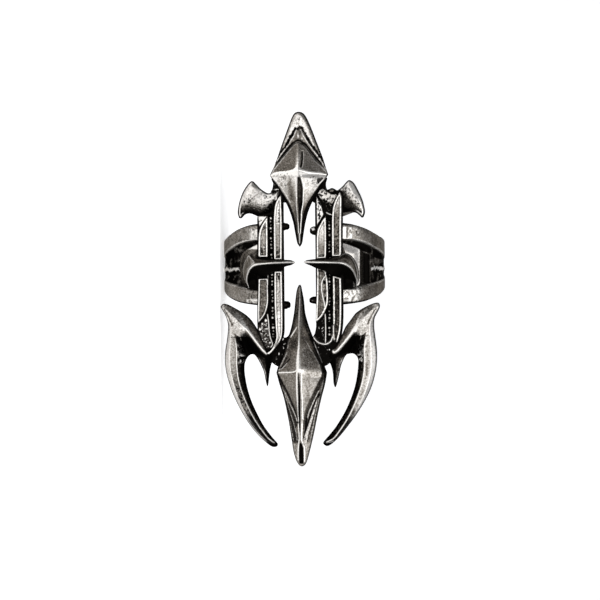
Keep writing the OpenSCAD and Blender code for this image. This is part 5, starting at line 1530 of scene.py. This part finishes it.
CLAW_R = dict(
    top=[(-10.72, -5.45), (-10.5, -5.15), (-9.84, -5.24), (-8.55, -5.82), (-7.5, -6.5), (-6.82, -7.36), (-6.1, -8.3)],
    outer=[(-10.66, -5.9), (-10.40, -6.4), (-9.98, -7.19), (-9.88, -8.13), (-9.95, -9.13), (-10.19, -11.15),
           (-10.23, -12.58), (-10.08, -14.1), (-9.61, -16.02), (-8.8, -17.86), (-7.5, -20.0), (-6.09, -21.9),
           (-4.9, -23.3), (-4.02, -24.1), (-3.4, -24.38), (-2.95, -24.1)],
    root=[(-5.85, -8.8), (-5.45, -9.75), (-5.08, -10.6), (-4.75, -11.1), (-4.3, -11.35), (-4.1, -11.8), (-3.8, -12.6), (-4.2, -13.0),
          (-5.2, -12.5), (-6.0, -12.12)],
    arm=[(-10.58, -5.5, 11.2), (-9.9, -5.95, 11.65), (-9.1, -6.7, 11.8), (-8.4, -7.4, 11.85), (-7.75, -8.25, 11.85),
         (-7.07, -9.12, 11.8), (-6.19, -10.19, 11.75), (-5.31, -11.21, 11.7), (-4.88, -11.66, 11.7), (-4.52, -11.76, 11.7),
         (-4.34, -11.55, 11.65)],
    inner=[(-6.49, -11.98), (-7.01, -11.98), (-7.5, -12.41), (-7.69, -13.09), (-7.61, -14.32), (-7.26, -16.21),
           (-6.63, -18.09), (-5.74, -19.97), (-4.55, -21.86), (-3.34, -23.31), (-2.93, -23.8)])

SPIKE_L = [(-6.3, -11.7), (-5.9, -12.4), (-5.41, -13.3), (-4.98, -14.37), (-4.72, -15.7), (-4.55, -16.3), (-4.42, -15.9),
           (-4.25, -14.5), (-4.0, -13.3), (-3.6, -12.6), (-3.0, -12.3), (-3.0, -11.6)]
SPIKE_R = [(-6.3, -11.7), (-5.9, -12.4), (-5.41, -13.5), (-5.11, -14.81), (-4.84, -15.9), (-4.6, -16.5), (-4.38, -15.95),
           (-4.29, -14.54), (-4.1, -13.7), (-3.75, -12.92), (-3.1, -12.4), (-3.0, -11.6)]

THORN_L = dict(
    upper=[(-0.50, 0.38, 12.6), (-0.75, 0.53, 12.65), (-1.1, 0.66, 12.7), (-2.13, 0.74, 12.7), (-3.87, 0.77, 12.6),
           (-5.3, 0.82, 11.9), (-6.1, 1.0, 11.2), (-6.85, 1.42, 10.5), (-7.3, 0.95, 10.1), (-7.66, 0.2, 9.8), (-7.85, -0.67, 9.4),
           (-7.68, -1.85, 9.0), (-7.2, -2.9, 8.6)],
    ridge=[(-0.50, 0.36, 12.7), (-2.2, 0.32, 13.1), (-3.89, 0.27, 13.3), (-5.2, 0.19, 13.15), (-6.05, 0.03, 12.7),
           (-6.7, -0.48, 12.0), (-6.98, -0.98, 11.3), (-7.2, -1.65, 10.5), (-7.22, -2.2, 9.9), (-7.0, -2.95, 9.1)],
    lower=[(-0.50, 0.33, 12.6), (-0.72, 0.17, 12.5), (-1.1, -0.02, 12.4), (-1.66, -0.15, 12.3), (-2.12, -0.3, 12.2), (-3.38, -0.74, 11.9),
           (-4.33, -1.34, 11.75), (-5.5, -2.35, 9.8), (-6.2, -3.0, 8.9), (-6.85, -3.2, 8.6)],
    facet=[(-6.88, 1.36), (-7.3, 0.9), (-7.62, 0.2), (-7.8, -0.67), (-7.66, -1.75), (-7.36, -2.35), (-7.28, -1.6), (-7.1, -0.95),
           (-6.85, -0.4), (-6.3, 0.1), (-6.0, 0.42), (-6.4, 0.85)],
    collar=[(-5.1, 2.95), (-5.8, 2.85), (-6.5, 2.5), (-7.2, 2.18), (-7.9, 1.6), (-8.2, 0.6), (-8.2, -1.0), (-7.95, -2.2),
            (-7.4, -3.0), (-6.2, -3.3), (-5.3, -3.3)])
THORN_R = dict(
    upper=[(-0.60, 0.40, 12.6), (-0.8, 0.52, 12.65), (-1.05, 0.64, 12.7), (-2.2, 0.78, 12.7), (-3.87, 0.85, 12.6),
           (-5.2, 1.12, 12.0), (-6.0, 1.55, 11.4), (-6.75, 1.3, 10.7), (-7.35, 0.6, 10.2), (-7.7, -0.35, 9.7), (-7.85, -1.3, 9.3),
           (-7.82, -2.1, 9.0), (-7.55, -2.9, 8.6)],
    ridge=[(-0.60, 0.38, 12.7), (-2.2, 0.33, 13.1), (-3.89, 0.3, 13.3), (-5.0, 0.27, 13.2), (-5.75, 0.2, 12.9), (-6.35, -0.02, 12.4),
           (-6.95, -0.5, 11.7), (-7.35, -1.2, 10.9), (-7.55, -1.85, 10.3), (-7.62, -2.4, 9.8), (-7.5, -2.95, 9.2)],
    lower=[(-0.60, 0.36, 12.6), (-0.8, 0.22, 12.5), (-1.15, 0.05, 12.4), (-1.65, -0.15, 12.3), (-2.21, -0.44, 12.2), (-3.4, -0.8, 11.9),
           (-4.4, -1.4, 11.75), (-5.5, -2.35, 9.8), (-6.3, -3.0, 8.9), (-7.1, -3.2, 8.6)],
    facet=[(-6.1, 1.3), (-6.7, 1.1), (-7.25, 0.5), (-7.6, -0.35), (-7.78, -1.3), (-7.74, -2.3), (-7.62, -2.0), (-7.42, -1.1),
           (-7.0, -0.4), (-6.45, 0.12), (-5.9, 0.42), (-5.6, 0.7)],
    collar=[(-5.3, 2.9), (-6.2, 2.78), (-7.2, 2.4), (-7.93, 2.05), (-7.98, 1.8), (-7.96, 0.0), (-7.95, -1.5), (-7.92, -2.6),
            (-7.4, -3.0), (-6.2, -3.3), (-5.3, -3.3)])

upper_spearhead()
lower_spearhead()
left_pillar()
right_pillar()
wing("left_wing", WING_L, CREST, 0, False, 101)
wing("right_wing", WING_R, CREST, 1, True, 111)
claw("left_claw", **CLAW_L, side=0, flip=False, seed=121)
claw("right_claw", **CLAW_R, side=1, flip=True, seed=131)
spike("left_spike", SPIKE_L, [(-4.9, -11.9, 11.0), (-4.7, -13.0, 11.1), (-4.6, -14.5, 10.9), (-4.55, -16.2, 10.5)], False)
spike("right_spike", SPIKE_R, [(-4.9, -11.9, 11.0), (-4.75, -13.0, 11.1), (-4.68, -14.5, 10.9), (-4.6, -16.4, 10.5)], True)
thorn("left_thorn", **THORN_L, flip=False, seed=141, collar_shade=0.28)
thorn("right_thorn", **THORN_R, flip=True, seed=151, collar_shade=0.80)
webs()
shank()
nubs()
build_pieces()


# ---------------------------------------------------------------- floor, light and camera

def plain_material(name, colour, rough=0.9, emit=0.0):
    mat = bpy.data.materials.new(name)
    mat.use_nodes = True
    b = mat.node_tree.nodes["Principled BSDF"]
    b.inputs["Base Color"].default_value = (*colour, 1)
    b.inputs["Roughness"].default_value = rough
    b.inputs["Specular IOR Level"].default_value = 0.0
    b.inputs["Emission Color"].default_value = (*colour, 1)
    b.inputs["Emission Strength"].default_value = emit
    return mat


def sweep():
    """A white sheet: flat under the ring, curving up behind it."""
    pts = [(-2.0, 0.0), (1.3, 0.0)]
    for i in range(1, 17):
        a = i / 16 * math.pi / 2
        pts.append((1.3 + 0.6 * math.sin(a), 0.6 * (1 - math.cos(a))))
    pts.append((1.9, 2.2))
    verts, faces = [], []
    for y, z in pts:
        verts += [(-2.2, y, z), (2.2, y, z)]
    for i in range(len(pts) - 1):
        faces.append((2 * i, 2 * i + 1, 2 * i + 3, 2 * i + 2))
    me = bpy.data.meshes.new("sweep")
    me.from_pydata(verts, [], faces)
    me.polygons.foreach_set("use_smooth", [True] * len(faces))
    ob = bpy.data.objects.new("sweep", me)
    bpy.context.scene.collection.objects.link(ob)
    ob.data.materials.append(plain_material("sweep_white", (0.97, 0.97, 0.97), 0.95, 0.5))


def area_light(name, pos, target, size, power, colour=(1, 1, 1)):
    data = bpy.data.lights.new(name, "AREA")
    data.shape = "RECTANGLE"
    data.size, data.size_y = size
    data.energy = power
    data.color = colour
    ob = bpy.data.objects.new(name, data)
    bpy.context.scene.collection.objects.link(ob)
    ob.location = Vector(pos)
    ob.rotation_euler = (Vector(target) - Vector(pos)).to_track_quat("-Z", "Y").to_euler()


def camera():
    a, roll = math.radians(3.4), math.radians(0.52)
    d = np.array([math.sin(a), 0, math.cos(a)])
    r0 = np.array([math.cos(a), 0, -math.sin(a)])
    up0 = np.array([0.0, 1.0, 0.0])
    up = up0 * math.cos(roll) + r0 * math.sin(roll)
    rt = r0 * math.cos(roll) - up0 * math.sin(roll)
    target = np.array([0.014, -4.70, 11.3])
    dist = 1100.0
    origin = world([[0, 0, 0]])[0]
    vec = lambda v: Vector(world([v])[0] - origin).normalized()
    pos = Vector(world([target + d * dist])[0])
    R, U, D = vec(rt), vec(up), vec(d)
    cam = bpy.data.cameras.new("camera")
    cam.sensor_fit = "HORIZONTAL"
    cam.angle = 2 * math.atan(40.29 / dist)
    cam.clip_start, cam.clip_end = 0.05, 10
    ob = bpy.data.objects.new("camera", cam)
    ob.matrix_world = Matrix(((R.x, U.x, D.x, pos.x), (R.y, U.y, D.y, pos.y), (R.z, U.z, D.z, pos.z), (0, 0, 0, 1)))
    bpy.context.scene.collection.objects.link(ob)
    bpy.context.scene.camera = ob


sweep()
camera()
# Row directions: the camera looks along +Y, image right is +Z, image up is -X
area_light("front", (0.05, -0.62, 0.16), (0, 0, 0.01), (0.6, 0.6), 1.25)
area_light("top", (0.12, -0.22, 0.52), (0, 0, 0.01), (0.45, 0.45), 1.1)
world_ = bpy.data.worlds.new("studio")
world_.use_nodes = True
world_.node_tree.nodes["Background"].inputs["Color"].default_value = (0.95, 0.97, 1.0, 1)
world_.node_tree.nodes["Background"].inputs["Strength"].default_value = 0.38
bpy.context.scene.world = world_
bpy.context.scene.view_settings.view_transform = "Standard"
bpy.context.scene.view_settings.look = "None"

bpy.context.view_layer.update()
import json
